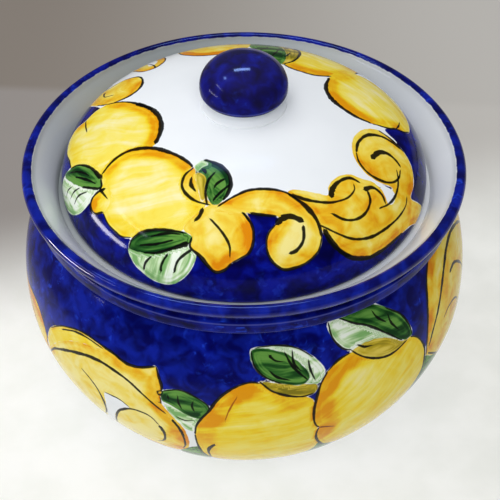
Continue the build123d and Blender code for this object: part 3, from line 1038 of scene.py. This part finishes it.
@dataclass
class Glazes:
    """The shader groups and materials of the jar; sizes of what shows in millimetres."""

    palette: Palette = field(default_factory=Palette)
    cloud: float = 19.0  # the cobalt's broad clouds, its dabs and its flecks
    dab: float = 7.5
    fleck: float = 4.2
    haze: float = 24.0  # clouds in the white
    speck_cell: float = 15.0  # one cell in five has an iron speck
    raised: float = 0.35  # how far the paint stands up, as a share of a brush line
    ripple: float = 14.0  # waves in the clear glaze
    roughness: float = 0.07
    refraction: float = 1.45
    bump: tuple[float, float] = (0.35, 0.0006)  # share and metres

    def __post_init__(self) -> None:
        """Builds the groups that the materials share."""
        self.cobalt = self.build_cobalt()
        self.white = self.build_white()
        self.painting = self.build_painting()

    def build_cobalt(self) -> bpy.types.NodeTree:
        """Cobalt wash in overlapping brush dabs, paler where the glaze ran thin, with a pale grey
        line where a painted highlight is laid.
        """
        sheet, given, result = new_group(
            "cobalt_wash", {"place": VECTOR, "thin_wash_and_highlight": NUMBER}, {"colour": COLOUR}
        )
        place, thin_wash_and_highlight = given["place"], given["thin_wash_and_highlight"]
        cloud = sheet.noise(place, self.cloud, 3.0, 0.55, 0.6)
        dabs = sheet.noise(place, self.dab, 2.0, 0.5, 0.5)
        flecks = sheet.noise(place, self.fleck, 2.0, 0.55, 0.7)
        tone = (cloud * 0.45 + dabs * 0.55).soft(0.36, 0.66)
        colour = sheet.ramp(tone, self.palette.cobalt[:3], (0.0, 0.42, 0.95))
        dense, clear, broken_and_highlit = self.palette.thin_cobalt
        colour = sheet.mix(thin_wash_and_highlight, colour, sheet.mix(dabs.soft(0.34, 0.68), dense, clear))
        light = flecks.soft(0.52, 0.74) * cloud.soft(0.44, 0.64)
        light = light.step("MULTIPLY", thin_wash_and_highlight * 1.2 + 0.5, clamp=True) * thin_wash_and_highlight.soft(*BANDED)
        colour = sheet.mix(light, colour, self.palette.cobalt[3])
        # pale grey line: the wash broken over the neck ring's edges, and painted highlight there
        # and on the knob's crest
        colour = sheet.mix(thin_wash_and_highlight.soft(0.66, 1.0) * 0.6, colour, broken_and_highlit)
        sheet.feed(result, {"colour": colour})
        return sheet.tree

    def build_white(self) -> bpy.types.NodeTree:
        """Tin-white glaze with a few iron specks, greyed by painted shade where asked."""
        sheet, given, result = new_group(
            "tin_white", {"place": VECTOR, "painted_shade": NUMBER}, {"colour": COLOUR}
        )
        thick, thicker, painted_shade_grey = self.palette.white
        colour = sheet.mix(sheet.noise(given["place"], self.haze), thick, thicker)
        # painted shade: greys the white where the gallery lies in shade
        colour = sheet.mix(given["painted_shade"], colour, painted_shade_grey)
        feeds = {"Vector": given["place"], "Scale": 1 / self.speck_cell}
        cells = sheet.node("ShaderNodeTexVoronoi", feeds)
        rare = sheet.parts(Value(sheet, cells.outputs["Color"]))[0].soft(0.80, 0.84)
        dot = Value(sheet, cells.outputs["Distance"]).soft(0.022, 0.012)
        sheet.feed(result, {"colour": sheet.mix(rare * dot * 0.5, colour, self.palette.iron)})
        return sheet.tree

    def build_painting(self) -> bpy.types.NodeTree:
        """The brushwork: reads what the canvas kept and gives the colour and its raised relief."""
        inputs = {"place": VECTOR, **dict.fromkeys(KEPT, VECTOR), "thin_wash_and_highlight": NUMBER, "painted_shade": NUMBER}
        sheet, given, result = new_group("brushwork", inputs, {"colour": COLOUR, "relief": NUMBER})
        place, paint = given["place"], self.palette
        steady = given["thin_wash_and_highlight"].soft(*BANDED)
        ragged = (sheet.noise(place, 4.0, 3.0) - 0.5) * 1.1 * (steady * 0.85 + 0.15)

        # the brush follows the edge of a shape and then fills its middle along the grain
        along, across, tone = sheet.parts(given["brush"])
        grain_u, grain_v, depth = sheet.parts(given["grain"])
        grain_v += sheet.noise(place, 24.0, 1.0) * 10.0
        edge_hairs = sheet.noise(sheet.join(along * 0.04, across * 0.5), 1.0, 2.0, 0.55)
        hairs = sheet.noise(sheet.join(grain_u * 0.03, grain_v * 0.36), 1.0, 3.0, 0.6)
        hairs = sheet.draw("ShaderNodeMix", {0: depth.soft(4.5, 2.0), 2: hairs, 3: edge_hairs})
        broad = sheet.noise(sheet.join(grain_u * 0.03, grain_v * 0.16), 1.0, 2.0, 0.5) - 0.5
        streak = (hairs - 0.5) * 1.1 + broad * 2.0
        streak = streak.step("MINIMUM", 0.16)  # strokes lift the colour off more than they load it
        wash = sheet.noise(place, 9.0, 3.0, 0.5, 0.6) - 0.5
        cloud = wash * 1.1
        tone = (tone * 1.15 + (streak + cloud)) * 0.5 + 0.5  # now 0 is light and 1 dark
        leaf_tone = (hairs + (broad + cloud * 0.2)).soft(0.26, 0.74)

        layers = (
            *sheet.group(self.cobalt, {"place": place, "thin_wash_and_highlight": given["thin_wash_and_highlight"]}),
            sheet.ramp(tone + wash * 0.7, paint.gold, (0.10, 0.38, 0.60, 0.86)),
            sheet.ramp(tone, paint.lemon, (0.03, 0.35, 0.60, 0.90)),
            sheet.ramp(leaf_tone, paint.pale_leaf, (0.15, 0.55, 0.95)),
            sheet.ramp(leaf_tone, paint.dark_leaf, (0.08, 0.55, 0.95)),
            sheet.ramp(leaf_tone, paint.olive, (0.08, 0.5, 0.95)),
        )
        cover = sheet.parts(given["cover_low"]) + sheet.parts(given["cover_high"])
        deepest = cover[0]
        for value in cover[1:]:
            deepest = deepest.step("MAXIMUM", value)
        best = deepest * -1.0  # how far inside the bare white
        (colour,) = sheet.group(self.white, {"place": place, "painted_shade": given["painted_shade"]})
        relief = deepest.soft(-0.3, 0.3) * self.raised
        for value, layer in zip(cover, layers):
            lead = (value - best) * 0.5 + ragged
            colour = sheet.mix(lead.soft(*HARD_EDGE), colour, layer)
            best = best.step("MAXIMUM", value)

        shiver = (sheet.noise(place, 5.0, 2.0) - 0.5) * 0.4
        black, rust = paint.ink
        for name in LINES:
            offset, width, ink = sheet.parts(given[name])
            depth = width * 0.5 - (offset + shiver).step("ABSOLUTE")
            mark = depth.soft(-0.14, 0.12) * (depth.soft(-0.1, 0.4) * 0.12 + 0.86)
            colour = sheet.mix(mark, colour, sheet.mix(ink, rust, black))
            relief = relief.step("MAXIMUM", mark)
        sheet.feed(result, {"colour": colour, "relief": relief})
        return sheet.tree

    def finish(self, name: str, colour_of: Callable[[Sheet, Value], tuple]) -> bpy.types.Material:
        """A glazed material.

        Args:
            name: Its name.
            colour_of: Given the sheet and the place, gives the colour and the relief.

        Returns:
            The material, clear-glazed, with raw clay where the piece's "raw" attribute is 1. Its
            "gloss" attribute tells how strongly the glaze mirrors.
        """
        material, sheet = new_material(name)
        to_mm = {0: sheet.place(), 1: (1 / MM,) * 3}
        place = sheet.draw("ShaderNodeVectorMath", to_mm, operation="MULTIPLY")
        colour, relief = colour_of(sheet, place)
        raw = sheet.kept("raw")
        grit = sheet.noise(place, 0.8, 3.0, 0.6)
        ripple = sheet.noise(place, self.ripple, 1.0)
        rough = sheet.noise(place, 30.0, 2.0) * self.roughness + self.roughness
        strength, distance = self.bump
        height = ripple * 0.5 + relief * 0.05 + grit * raw * 0.3
        bump = {"Strength": strength, "Distance": distance, "Height": height}
        sheet.surface(
            {
                "Base Color": sheet.mix(raw, colour, sheet.mix(grit, *self.palette.clay)),
                "Roughness": rough.step("ADD", raw * 0.75, clamp=True),
                "Normal": sheet.draw("ShaderNodeBump", bump, "Normal"),
                "IOR": self.refraction,
                "Specular IOR Level": sheet.kept("gloss"),
            }
        )
        return material

    def painted(self, name: str) -> bpy.types.Material:
        """Glaze over the painting that a canvas kept on the piece."""

        def colour_of(sheet: Sheet, place: Value) -> tuple:
            """Colour and relief of the brushwork."""
            feeds = {label: sheet.kept(label, "Vector") for label in KEPT}
            feeds |= {label: sheet.kept(label) for label in ("thin_wash_and_highlight", "painted_shade")}
            return tuple(sheet.group(self.painting, {"place": place, **feeds}))

        return self.finish(name, colour_of)

    def washed(self, name: str) -> bpy.types.Material:
        """Cobalt over white; the piece's "blue" attribute tells how far inside the wash it is."""

        def colour_of(sheet: Sheet, place: Value) -> tuple:
            """Colour of the wash and the white beside it."""
            ragged = sheet.noise(place, 5.0, 3.0) - 0.5
            mask = (sheet.kept("blue") + ragged).soft(*HARD_EDGE)
            (cobalt,) = sheet.group(self.cobalt, {"place": place, "thin_wash_and_highlight": sheet.kept("thin_wash_and_highlight")})
            (white,) = sheet.group(self.white, {"place": place})
            milky = sheet.mix(0.12, cobalt, self.palette.thick_glaze)
            return sheet.mix(mask, white, milky), mask * self.raised

        return self.finish(name, colour_of)


# ---------------------------------------------------------------- pieces


@dataclass(frozen=True)
class Island:
    """One patch of a piece's map, filled by the faces whose way lies between two values."""

    first: float
    last: float
    corner: Point
    size: Point
    half: int = -1  # 0 or 1 takes only the faces on one side of the piece
    disc: bool = False
    upright: bool = False


def place(piece: bpy.types.Object) -> np.ndarray:
    """Every vertex's place in millimetres."""
    values = np.zeros(len(piece.data.vertices) * 3)
    piece.data.vertices.foreach_get("co", values)
    return values.reshape(-1, 3) / MM


def ways(piece: bpy.types.Object) -> np.ndarray:
    """Every vertex's way along the section, in millimetres."""
    values = np.zeros(len(piece.data.vertices), np.float32)
    piece.data.attributes["way"].data.foreach_get("value", values)
    return values.astype(float)


def number_on(piece: bpy.types.Object, name: str, values: np.ndarray) -> None:
    """Keeps one number on every vertex."""
    attribute = piece.data.attributes.new(name, "FLOAT", "POINT")
    attribute.data.foreach_set("value", np.ascontiguousarray(values, np.float32))


def lay_map(piece: bpy.types.Object, islands: tuple[Island, ...]) -> None:
    """Gives a spun piece its map: strips round it, and discs for what faces up."""
    mesh = piece.data
    corners = np.zeros(len(mesh.loops), np.int32)
    mesh.loops.foreach_get("vertex_index", corners)
    counts = np.zeros(len(mesh.polygons), np.int32)
    mesh.polygons.foreach_get("loop_total", counts)
    owner = np.repeat(np.arange(len(counts)), counts)
    points, way = place(piece), ways(piece)
    middle_x, middle_y, mean_way = (
        np.bincount(owner, values[corners]) / counts for values in (points[:, 0], points[:, 1], way)
    )
    face_turn = np.arctan2(middle_x, -middle_y)
    turn = np.arctan2(points[corners, 0], -points[corners, 1])
    reach = np.hypot(points[corners, 0], points[corners, 1])
    base = face_turn[owner]
    turn = base + (turn - base + np.pi) % (2 * np.pi) - np.pi
    turn = np.where(reach < 0.01, base, turn)
    uv = np.zeros((len(corners), 2))
    for island in islands:
        taken = (mean_way >= island.first) & (mean_way <= island.last)
        if island.half >= 0:
            taken &= (face_turn >= 0) == bool(island.half)
        mine = taken[owner]
        share = (way[corners][mine] - island.first) / (island.last - island.first)
        if island.disc:
            radius = 0.5 * share
            u = 0.5 + radius * np.sin(turn[mine])
            v = 0.5 - radius * np.cos(turn[mine])
        else:
            low, span = -np.pi, 2 * np.pi
            if island.half >= 0:
                low, span = (island.half - 1) * np.pi, np.pi
            u, v = (turn[mine] - low) / span, share
            if island.upright:
                u, v = v, u
        uv[mine, 0] = island.corner[0] + island.size[0] * u
        uv[mine, 1] = island.corner[1] + island.size[1] * v
    layer = mesh.uv_layers.new(name="OFBake")
    layer.data.foreach_set("uv", uv.ravel().astype(np.float32))


@dataclass
class Pot:
    """The thrown pot; sizes in millimetres."""

    rim_radius: float = 100.0
    height: float = 137.0
    lip_thickness: float = 5.4
    belly_radius: float = 105.7
    belly_height: float = 71.0
    neck_radius: float = 93.4
    neck_z: float = 118.0
    neck_ring_radius: float = 96.0
    neck_ring_z: tuple[float, float] = (120.0, 125.0)
    over_ring: Point = (94.2, 127.0)
    foot_radius: float = 66.0
    foot_height: float = 5.0
    foot_bore: float = 59.0
    heel: Point = (72.5, 6.0)  # where the belly springs from the foot
    recess_z: float = 4.0
    floor_z: float = 10.0
    wall: float = 5.0
    ledge_z: float = 123.0
    gallery_radius: float = 85.0
    throat_radius: float = 77.0
    throat_depth: float = 5.5
    inside_neck: tuple = ((84.7, 116.5), (89.6, 113.5), (92.5, 107.5))  # the throat opens out
    floor_radius: float = 55.0
    hem: float = 3.5  # how far above the belly's widest part the cobalt starts
    blue_ends: float = 122.0  # degrees round the lip's roll, 0 outwards and 90 upwards
    segments: int = 512

    def section(self) -> Section:
        """Half section, from under the middle up the outside, over the lip and down inside."""
        s = Section(step=1.13)
        s.line(0, self.recess_z)
        s.line(self.foot_bore, self.recess_z, 30)
        s.line(self.foot_bore, 0, 4)
        s.line(self.foot_radius, 0, 4)
        s.line(self.foot_radius, self.foot_height, 2.5)
        s.line(*self.heel, 3)
        drop = self.belly_height - self.foot_height
        s.curve(
            (self.heel[0] + 0.41 * drop, self.heel[1] + 0.38 * drop),
            (self.belly_radius, self.belly_height - 0.19 * drop),
            (self.belly_radius, self.belly_height),
        )
        rise = self.neck_z - self.belly_height
        s.curve(
            (self.belly_radius, self.belly_height + 0.36 * rise),
            (self.neck_radius + 0.20 * rise, self.neck_z - 0.33 * rise),
            (self.neck_radius, self.neck_z),
        )
        for ring_z in self.neck_ring_z:
            s.line(self.neck_ring_radius, ring_z)
        s.line(*self.over_ring)
        lip = self.lip_thickness / 2
        centre = (self.rim_radius - lip, self.height - lip)
        s.line(centre[0] - 0.1 * lip, centre[1] - lip)
        s.arc(centre, lip, -80, 168, 15)
        s.curve(
            (self.gallery_radius + 5.2, self.height - 6.0),
            (self.gallery_radius + 1.2, self.ledge_z + 3.9),
            (self.gallery_radius, self.ledge_z),
            1.8,
        )
        throat_z = self.ledge_z - self.throat_depth
        s.line(self.throat_radius, self.ledge_z, 2.7)
        s.line(self.throat_radius, throat_z, 2)
        s.curve(*self.inside_neck, 3)
        inner = self.belly_radius - self.wall
        s.curve((98.3, 95.5), (inner, 84), (inner, self.belly_height), 6)
        s.curve((inner, 40.5), (73, self.floor_z), (self.floor_radius, self.floor_z), 7)
        s.line(0, self.floor_z, 11)
        s.soften(self.foot_bore, 0, 1.0, 3)
        s.soften(self.foot_radius, 0, 1.2, 3)
        s.soften(self.neck_radius, self.neck_z, 1.0)
        for ring_z in self.neck_ring_z:
            s.soften(self.neck_ring_radius, ring_z, 0.9)
        s.soften(*self.over_ring, 1.0, 3)
        s.soften(self.throat_radius, self.ledge_z, 1.0, 3)
        s.soften(self.throat_radius, throat_z, 1.2, 3)
        return s

    def build(self, glazes: Glazes) -> bpy.types.Object:
        """Spins the pot, paints it and sets it in the frame."""
        section = self.section()
        origin = section.way_at(self.belly_radius, self.belly_height)
        piece = section.spin("pot", self.segments, origin)

        def way(radius: float, height: float) -> float:
            """Way of a place on the section, counted from the belly's widest part."""
            return section.way_at(radius, height) - origin

        lip = self.lip_thickness / 2
        turned_in = math.radians(self.blue_ends)
        foot = way(self.foot_radius, 2.5)
        inner_lip = way(
            self.rim_radius - lip + lip * math.cos(turned_in),
            self.height - lip + lip * math.sin(turned_in),
        )
        self.paint(
            piece,
            shoulder=way(self.neck_radius + 0.3, self.neck_z - 0.5),
            inner_lip=inner_lip,
            foot=way(self.foot_radius - 1, 0),
            edges=[way(self.neck_ring_radius, ring_z) for ring_z in self.neck_ring_z],
            corner=way(self.gallery_radius, self.ledge_z),
            throat=way(self.throat_radius, self.ledge_z),
        )
        lay_map(
            piece,
            (
                Island(foot, inner_lip, (0.01, 0.01), (0.88, 0.43), half=0),
                Island(foot, inner_lip, (0.01, 0.46), (0.88, 0.43), half=1),
                Island(inner_lip, section.ways()[-1] - origin, (0.01, 0.91), (0.88, 0.08)),
                Island(-origin, foot, (0.91, 0.01), (0.08, 0.88), upright=True),
            ),
        )
        piece.data.materials.append(glazes.painted("painted_pot_glaze"))
        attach(piece, "jar")
        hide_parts("jar")
        return piece

    def paint(
        self,
        piece: bpy.types.Object,
        shoulder: float,
        inner_lip: float,
        foot: float,
        edges: list[float],
        corner: float,
        throat: float,
    ) -> None:
        """Paints the belly, the neck and the lip.

        Args:
            piece: The pot.
            shoulder: Way of the corner under the neck.
            inner_lip: Way of the lip's inner edge, where the cobalt stops.
            foot: Way of the foot ring's edge, where the glaze stops.
            edges: Ways of the neck ring's edges.
            corner: Way of the corner where the gallery's wall meets the ledge.
            throat: Way of the ledge's inner edge.
        """
        points, way = place(piece), ways(piece)
        around = np.arctan2(points[:, 0], -points[:, 1])
        canvas = Canvas(around * self.belly_radius, way, period=math.tau * self.belly_radius)
        hem = self.hem + 2.0 * np.sin(3 * around + 0.6) + 1.2 * np.sin(7 * around)
        lip_ends = inner_lip + 0.75 - 0.25 * np.cos(around)
        canvas.flood(Pigment.COBALT, np.minimum(way - hem, lip_ends - way))
        for shift in (0.0, math.pi * self.belly_radius):  # the back repeats the front
            for motif in belly_painting():
                motif.paint(canvas, (shift, 0.0))
        canvas.flood(Pigment.COBALT, np.minimum(way - shoulder, lip_ends - way))
        log.info("pot: %d brush lines, %d share a channel", canvas.strokes, canvas.crowded)
        canvas.keep_on(piece)
        number_on(piece, "raw", ease(foot + 0.6, foot - 0.4, way))
        on_lip = ease(inner_lip - 11, inner_lip - 7, way)
        thin_wash_and_highlight = (0.35 + 0.2 * np.cos(around)) * on_lip
        thin_wash_and_highlight += 0.4 * ease(shoulder + 2, shoulder, way)
        for edge in edges:  # the wash breaks over the ring's edges, and the paler line there is partly a painted reflection
            thin_wash_and_highlight = np.maximum(thin_wash_and_highlight, 0.95 - 0.5 * np.abs(way - edge))
        number_on(piece, "thin_wash_and_highlight", thin_wash_and_highlight)
        # painted shade in the gallery: grey most of all at the far side and the left, and down on
        # the ledge by the lid's edge, mostly at the left
        painted_shade = np.clip(0.25 + 0.68 * np.cos(around - math.radians(202)), 0, 1)
        painted_shade = np.clip(painted_shade + (0.3 - 0.3 * np.sin(around)) * ease(corner - 3, corner, way), 0, 1)
        painted_shade *= ease(inner_lip - 1.5, inner_lip + 1.5, way) * ease(throat + 3, throat, way)
        number_on(piece, "painted_shade", painted_shade)
        number_on(piece, "gloss", 0.08 + 0.42 * on_lip)


@dataclass
class Lid:
    """The domed lid; sizes in millimetres."""

    pad_z: float = 163.2
    pad_radius: float = 19.3
    radius: float = 83.1
    edge_z: float = 125.6
    seat_z: float = 123.0
    seat_radius: float = 81.3
    flange_radius: float = 75.3
    flange_bore: float = 70.8
    flange_z: float = 113.0
    flange_root: float = 8.0  # how far above the edge the inside starts to close in
    cobalt_starts: float = 71.5  # along the dome, at the front
    cobalt_narrows: float = 10.5  # how much further out it starts at the far side
    wall: float = 5.0
    segments: int = 560

    def section(self) -> Section:
        """Half section from the pad under the knob, over the dome and back inside."""
        s = Section(step=1.0)
        dome = self.pad_z - self.edge_z
        s.line(0, self.pad_z)
        s.line(self.pad_radius, self.pad_z, 5)
        s.curve(
            (self.pad_radius + 0.21 * (self.radius - self.pad_radius), self.pad_z - 0.045 * dome),
            (self.radius, self.edge_z + 0.80 * dome),
            (self.radius, self.edge_z),
        )
        s.curve(
            (self.radius, self.edge_z - 1.6),
            (self.seat_radius + 0.7, self.seat_z),
            (self.seat_radius, self.seat_z),
            0.8,
        )
        s.line(self.flange_radius, self.seat_z, 3)
        s.line(self.flange_radius, self.flange_z, 3)
        s.line(self.flange_bore, self.flange_z, 2.3)
        spring_z, top = self.edge_z + self.flange_root, self.pad_z - self.wall
        s.line(self.flange_bore, spring_z, 5)
        spring = (self.flange_bore, spring_z + 0.62 * (top - spring_z))
        s.curve(spring, (32.2, top), (self.pad_radius, top), 4.5)
        s.line(0, top, 10)
        s.soften(self.flange_radius, self.flange_z, 1.2, 3)
        s.soften(self.flange_bore, self.flange_z, 1.2, 3)
        return s

    def build(self, glazes: Glazes) -> bpy.types.Object:
        """Spins the lid, paints it and sets it in the frame."""
        section = self.section()
        piece = section.spin("dome_lid", self.segments, 0.0)
        seat = section.way_at(self.seat_radius, self.seat_z)
        points, way = place(piece), ways(piece)
        turn = np.arctan2(points[:, 1], points[:, 0])
        canvas = Canvas(way * np.cos(turn), way * np.sin(turn))
        ring = self.cobalt_starts + self.cobalt_narrows * ease(0.15, 0.75, np.sin(turn))
        ring += 1.2 * np.sin(5 * turn) + 0.8 * np.sin(11 * turn + 1)
        canvas.flood(Pigment.COBALT, np.minimum(way - ring, seat - 0.5 - way))
        for motif in lid_painting():
            motif.paint(canvas, (0.0, 0.0))
        canvas.flood(Pigment.WHITE, way - seat + 0.5)
        log.info("lid: %d brush lines, %d share a channel", canvas.strokes, canvas.crowded)
        canvas.keep_on(piece)
        number_on(piece, "raw", ease(seat, seat + 1.0, way) * ease(seat + 8.0, seat + 7.0, way))
        for name in ("thin_wash_and_highlight", "painted_shade"):
            number_on(piece, name, np.zeros(len(way)))
        number_on(piece, "gloss", 0.06 + 0.09 * ease(58, 70, way))
        lay_map(
            piece,
            (
                Island(0.0, seat, (0.01, 0.01), (0.80, 0.80), disc=True),
                Island(seat, section.ways()[-1], (0.01, 0.83), (0.98, 0.15)),
            ),
        )
        piece.data.materials.append(glazes.painted("painted_lid_glaze"))
        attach(piece, "lid")
        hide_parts("lid")
        return piece


@dataclass
class Knob:
    """The knob luted to the lid; sizes in millimetres."""

    pad_z: float = 163.2
    foot_radius: float = 18.8
    foot_edge: float = 0.9
    waist_radius: float = 12.5
    waist_height: float = 4.4
    cap_radius: float = 19.2
    cap_height: float = 9.9
    crest_drop: float = 2.6
    crest_inset: float = 0.2
    bevel_height: float = 1.7
    bevel_inset: float = 1.0
    height: float = 23.4
    segments: int = 160

    def section(self) -> Section:
        """Half section from the foot's middle, up the waist and over the cap."""
        s = Section(step=0.6)
        z = self.pad_z
        waist_z, cap_z, top = z + self.waist_height, z + self.cap_height, z + self.height
        crest, under_cap = self.crest(), self.under_cap()
        s.line(0, z)
        s.line(self.foot_radius, z, 6)
        foot_z = z + self.foot_edge
        s.line(self.foot_radius, foot_z, 0.3)
        s.curve(
            (self.foot_radius - 0.5 * (self.foot_radius - self.waist_radius), foot_z + 0.6),
            (self.waist_radius, waist_z - 0.5 * self.waist_height),
            (self.waist_radius, waist_z),
        )
        s.line(*under_cap)
        s.line(*crest, 0.4)
        third = self.crest_drop / 3
        widest = (self.cap_radius, cap_z)
        s.curve((self.cap_radius, crest[1] + third), (self.cap_radius, cap_z - third), widest)
        crown = (self.cap_radius, cap_z + 0.52 * (top - cap_z))
        s.curve(crown, (0.62 * self.cap_radius, top), (0, top))
        s.soften(self.foot_radius, foot_z, 0.5, 4)
        s.soften(self.waist_radius, waist_z, 1.2)
        s.soften(*under_cap, 0.4, 3)
        s.soften(*crest, 0.4, 3)
        return s

    def crest(self) -> Point:
        """The fine crest turned round the cap under its widest part."""
        return self.cap_radius - self.crest_inset, self.pad_z + self.cap_height - self.crest_drop

    def under_cap(self) -> Point:
        """The cap's lower edge."""
        radius, height = self.crest()
        return radius - self.bevel_inset, height - self.bevel_height

    def build(self, glazes: Glazes) -> bpy.types.Object:
        """Spins the knob, washes its cap with cobalt and sets it in the frame."""
        section = self.section()
        piece = section.spin("lid_knob", self.segments, 0.0)
        way = ways(piece)
        cap = section.way_at(*self.under_cap())
        crest = section.way_at(*self.crest())
        foot = section.way_at(self.foot_radius, self.pad_z)
        number_on(piece, "blue", way - cap + 0.4)
        number_on(piece, "raw", np.zeros(len(way)))
        # painted highlight: a pale line along the cap's crest, where the edge catches the light
        number_on(piece, "thin_wash_and_highlight", np.clip(1.35 - np.abs(way - crest) / 0.7, 0, 1))
        crown = self.pad_z + self.height
        number_on(piece, "gloss", 0.03 + 0.52 * ease(crown - 8, crown - 3, place(piece)[:, 2]))
        lay_map(
            piece,
            (
                Island(section.ways()[-1], cap, (0.02, 0.30), (0.68, 0.68), disc=True),
                Island(foot, cap, (0.02, 0.14), (0.96, 0.12)),
                Island(0.0, foot, (0.02, 0.02), (0.96, 0.08)),
            ),
        )
        piece.data.materials.append(glazes.washed("knob_glaze_coat"))
        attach(piece, "lid")
        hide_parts("knob")
        return piece


# ---------------------------------------------------------------- studio


@dataclass(frozen=True)
class Lamp:
    """A soft box that faces the jar; metres and watts.

    What the glaze mirrors of a shown lamp is all that it adds; the others light the jar and aren't
    mirrored.
    """

    name: str
    at: tuple[float, float, float]
    size: Point
    power: float
    tint: tuple[float, float, float] = (1.0, 1.0, 1.0)
    shown: bool = False


COOL = (0.30, 0.48, 1.0)
LAMPS = (
    Lamp("sky_panel", (-0.3, 0.15, 1.5), (1.2, 1.2), 8.6),
    Lamp("front_panel", (0.0, -1.0, 1.3), (1.4, 0.9), 12.0),
    Lamp("left_panel", (-1.5, -0.3, 0.6), (1.0, 0.8), 6.6),
    Lamp("front_fill", (0.1, -1.6, 0.35), (1.6, 0.5), 0.5),
    Lamp("window", (-1.14, -0.17, 0.22), (0.56, 0.12), 8.5, (0.92, 0.90, 1.0), shown=True),
    Lamp("high_window", (-0.98, -0.22, 0.82), (0.5, 0.06), 1.0, (0.75, 0.78, 1.0), shown=True),
    Lamp("ceiling_box", (-0.06, 0.55, 1.31), (0.48, 0.12), 3.1, COOL, shown=True),
    Lamp("ceiling_side_box", (-0.60, 0.15, 1.10), (0.14, 0.10), 0.45, COOL, shown=True),
)


@dataclass
class Studio:
    """Table, lamps and camera; metres."""

    table_half: float = 12.0
    table_edge: float = 0.232  # where the pale table gives way to the grey beyond it
    light_pool_ends: Point = (0.27, 0.36)  # the painted pool of light round the jar fades out between these distances
    table_glow: float = 0.66  # share of the table's brightness that no shadow takes away
    jar_middle: tuple[float, float, float] = (0.0, 0.0, 0.09)
    camera_place: tuple[float, float, float] = (0.0, -0.39146, 0.44807)
    camera_target: tuple[float, float, float] = (0.0026952, 0.0, 0.0747959)
    lens: float = 79.23
    daylight: float = 0.30  # the room's own light
    daylight_not_mirrored: float = 0.20  # and how much of it the glaze doesn't show

    def build(self) -> None:
        """Sets up the whole studio."""
        self.lay_table()
        self.hang_lamps()
        self.set_camera()
        bpy.context.scene.view_settings.view_transform = "Standard"

    def lay_table(self) -> None:
        """A pale table top with painted shade: grey towards the back, darkest at the back left, a
        little darker on the right, with a painted pool of light round the jar.
        """
        bm = bmesh.new()
        bmesh.ops.create_grid(bm, x_segments=1, y_segments=1, size=self.table_half)
        mesh = bpy.data.meshes.new("table_top")
        bm.to_mesh(mesh)
        bm.free()
        table = bpy.data.objects.new("table_top", mesh)
        bpy.context.scene.collection.objects.link(table)
        material, sheet = new_material("table_cloth")
        where = sheet.place()
        right, back, _ = sheet.parts(where)
        to_right = right.soft(-0.18, 0.2)
        # painted shade: the back of the table goes grey, darkest at the left, and so does the wall
        # beyond its edge
        dim = sheet.mix(to_right, *pigments((148, 142, 138), (190, 187, 182)))
        wall = sheet.mix(to_right, *pigments((134, 126, 118), (186, 183, 178)))
        cloud = sheet.noise(where, 1 / 34.0, 6.0).soft(0.3, 0.7)
        pale = sheet.mix(cloud, *pigments((245, 246, 241), (252, 252, 249)))
        # painted shade: the right side a little darker
        side = sheet.mix(cloud, *pigments((230, 231, 226), (238, 239, 234)))
        pale = sheet.mix(right.soft(0.02, 0.2), pale, side)
        reach = sheet.draw("ShaderNodeVectorMath", {0: where}, "Value", operation="LENGTH")
        # painted pool of light: pale in front and round the jar, grey beyond it
        far = (back + right * -0.25).soft(0.035, 0.155)
        far = far.step("MAXIMUM", reach.soft(*self.light_pool_ends))
        edge = (back + right * 0.07).soft(self.table_edge - 0.006, self.table_edge + 0.006)
        colour = sheet.mix(edge, sheet.mix(far, pale, dim), wall)
        # seen, part of the table's brightness is its own, so that its shadows stay light; what it
        # throws back on the jar is its plain colour
        rays = sheet.node("ShaderNodeLightPath").outputs
        seen, mirrored, through = (
            Value(sheet, rays[f"Is {kind} Ray"]) for kind in ("Camera", "Glossy", "Transmission")
        )
        glow = (seen + mirrored).step("ADD", through, clamp=True) * self.table_glow
        sheet.surface(
            {
                "Base Color": sheet.mix(glow, colour, (0, 0, 0, 1)),
                "Roughness": 0.85,
                "Specular IOR Level": 0.1,
                "Emission Color": colour,
                "Emission Strength": glow,
            }
        )
        table.data.materials.append(material)

    def hang(self, lamp: Lamp) -> None:
        """Hangs a lamp so that it faces the jar."""
        light = bpy.data.lights.new(lamp.name, "AREA")
        light.shape = "RECTANGLE"
        light.size, light.size_y = lamp.size
        light.energy = lamp.power
        light.color = lamp.tint
        hung = bpy.data.objects.new(lamp.name, light)
        hung.location = lamp.at
        hung.rotation_mode = "QUATERNION"
        aim = Vector(self.jar_middle) - Vector(lamp.at)
        hung.rotation_quaternion = aim.to_track_quat("-Z", "Y")
        hung.visible_glossy = lamp.shown
        hung.visible_diffuse = not lamp.shown
        bpy.context.scene.collection.objects.link(hung)

    def hang_lamps(self) -> None:
        """Soft light from above, in front and the left, and what the glaze mirrors of the room."""
        for lamp in LAMPS:
            self.hang(lamp)
        world = bpy.data.worlds.new("room")
        world.use_nodes = True
        sheet = Sheet(world.node_tree)
        lost = sheet.draw("ShaderNodeLightPath", {}, "Is Glossy Ray") * self.daylight_not_mirrored
        strength = sheet.reckon("SUBTRACT", self.daylight, lost)
        background = world.node_tree.nodes["Background"]
        sheet.feed(background, {"Color": pigment(236, 239, 243), "Strength": strength})
        bpy.context.scene.world = world

    def set_camera(self) -> None:
        """Looks down on the front of the jar."""
        data = bpy.data.cameras.new("front_view")
        data.lens = self.lens
        data.sensor_width = 36.0
        camera = bpy.data.objects.new("front_view", data)
        camera.location = self.camera_place
        camera.rotation_mode = "QUATERNION"
        aim = Vector(self.camera_target) - Vector(self.camera_place)
        camera.rotation_quaternion = aim.to_track_quat("-Z", "Y")
        bpy.context.scene.collection.objects.link(camera)
        bpy.context.scene.camera = camera


def main() -> None:
    """Builds the jar and its studio."""
    logging.basicConfig(level=logging.INFO, format="%(name)s: %(message)s")
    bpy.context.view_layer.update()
    Studio().build()
    glazes = Glazes()
    for maker in (Pot(), Lid(), Knob()):
        piece = maker.build(glazes)
        log.info("%s: %d faces", piece.name, len(piece.data.polygons))
    bpy.context.view_layer.update()


if __name__ == "__main__":
    main()
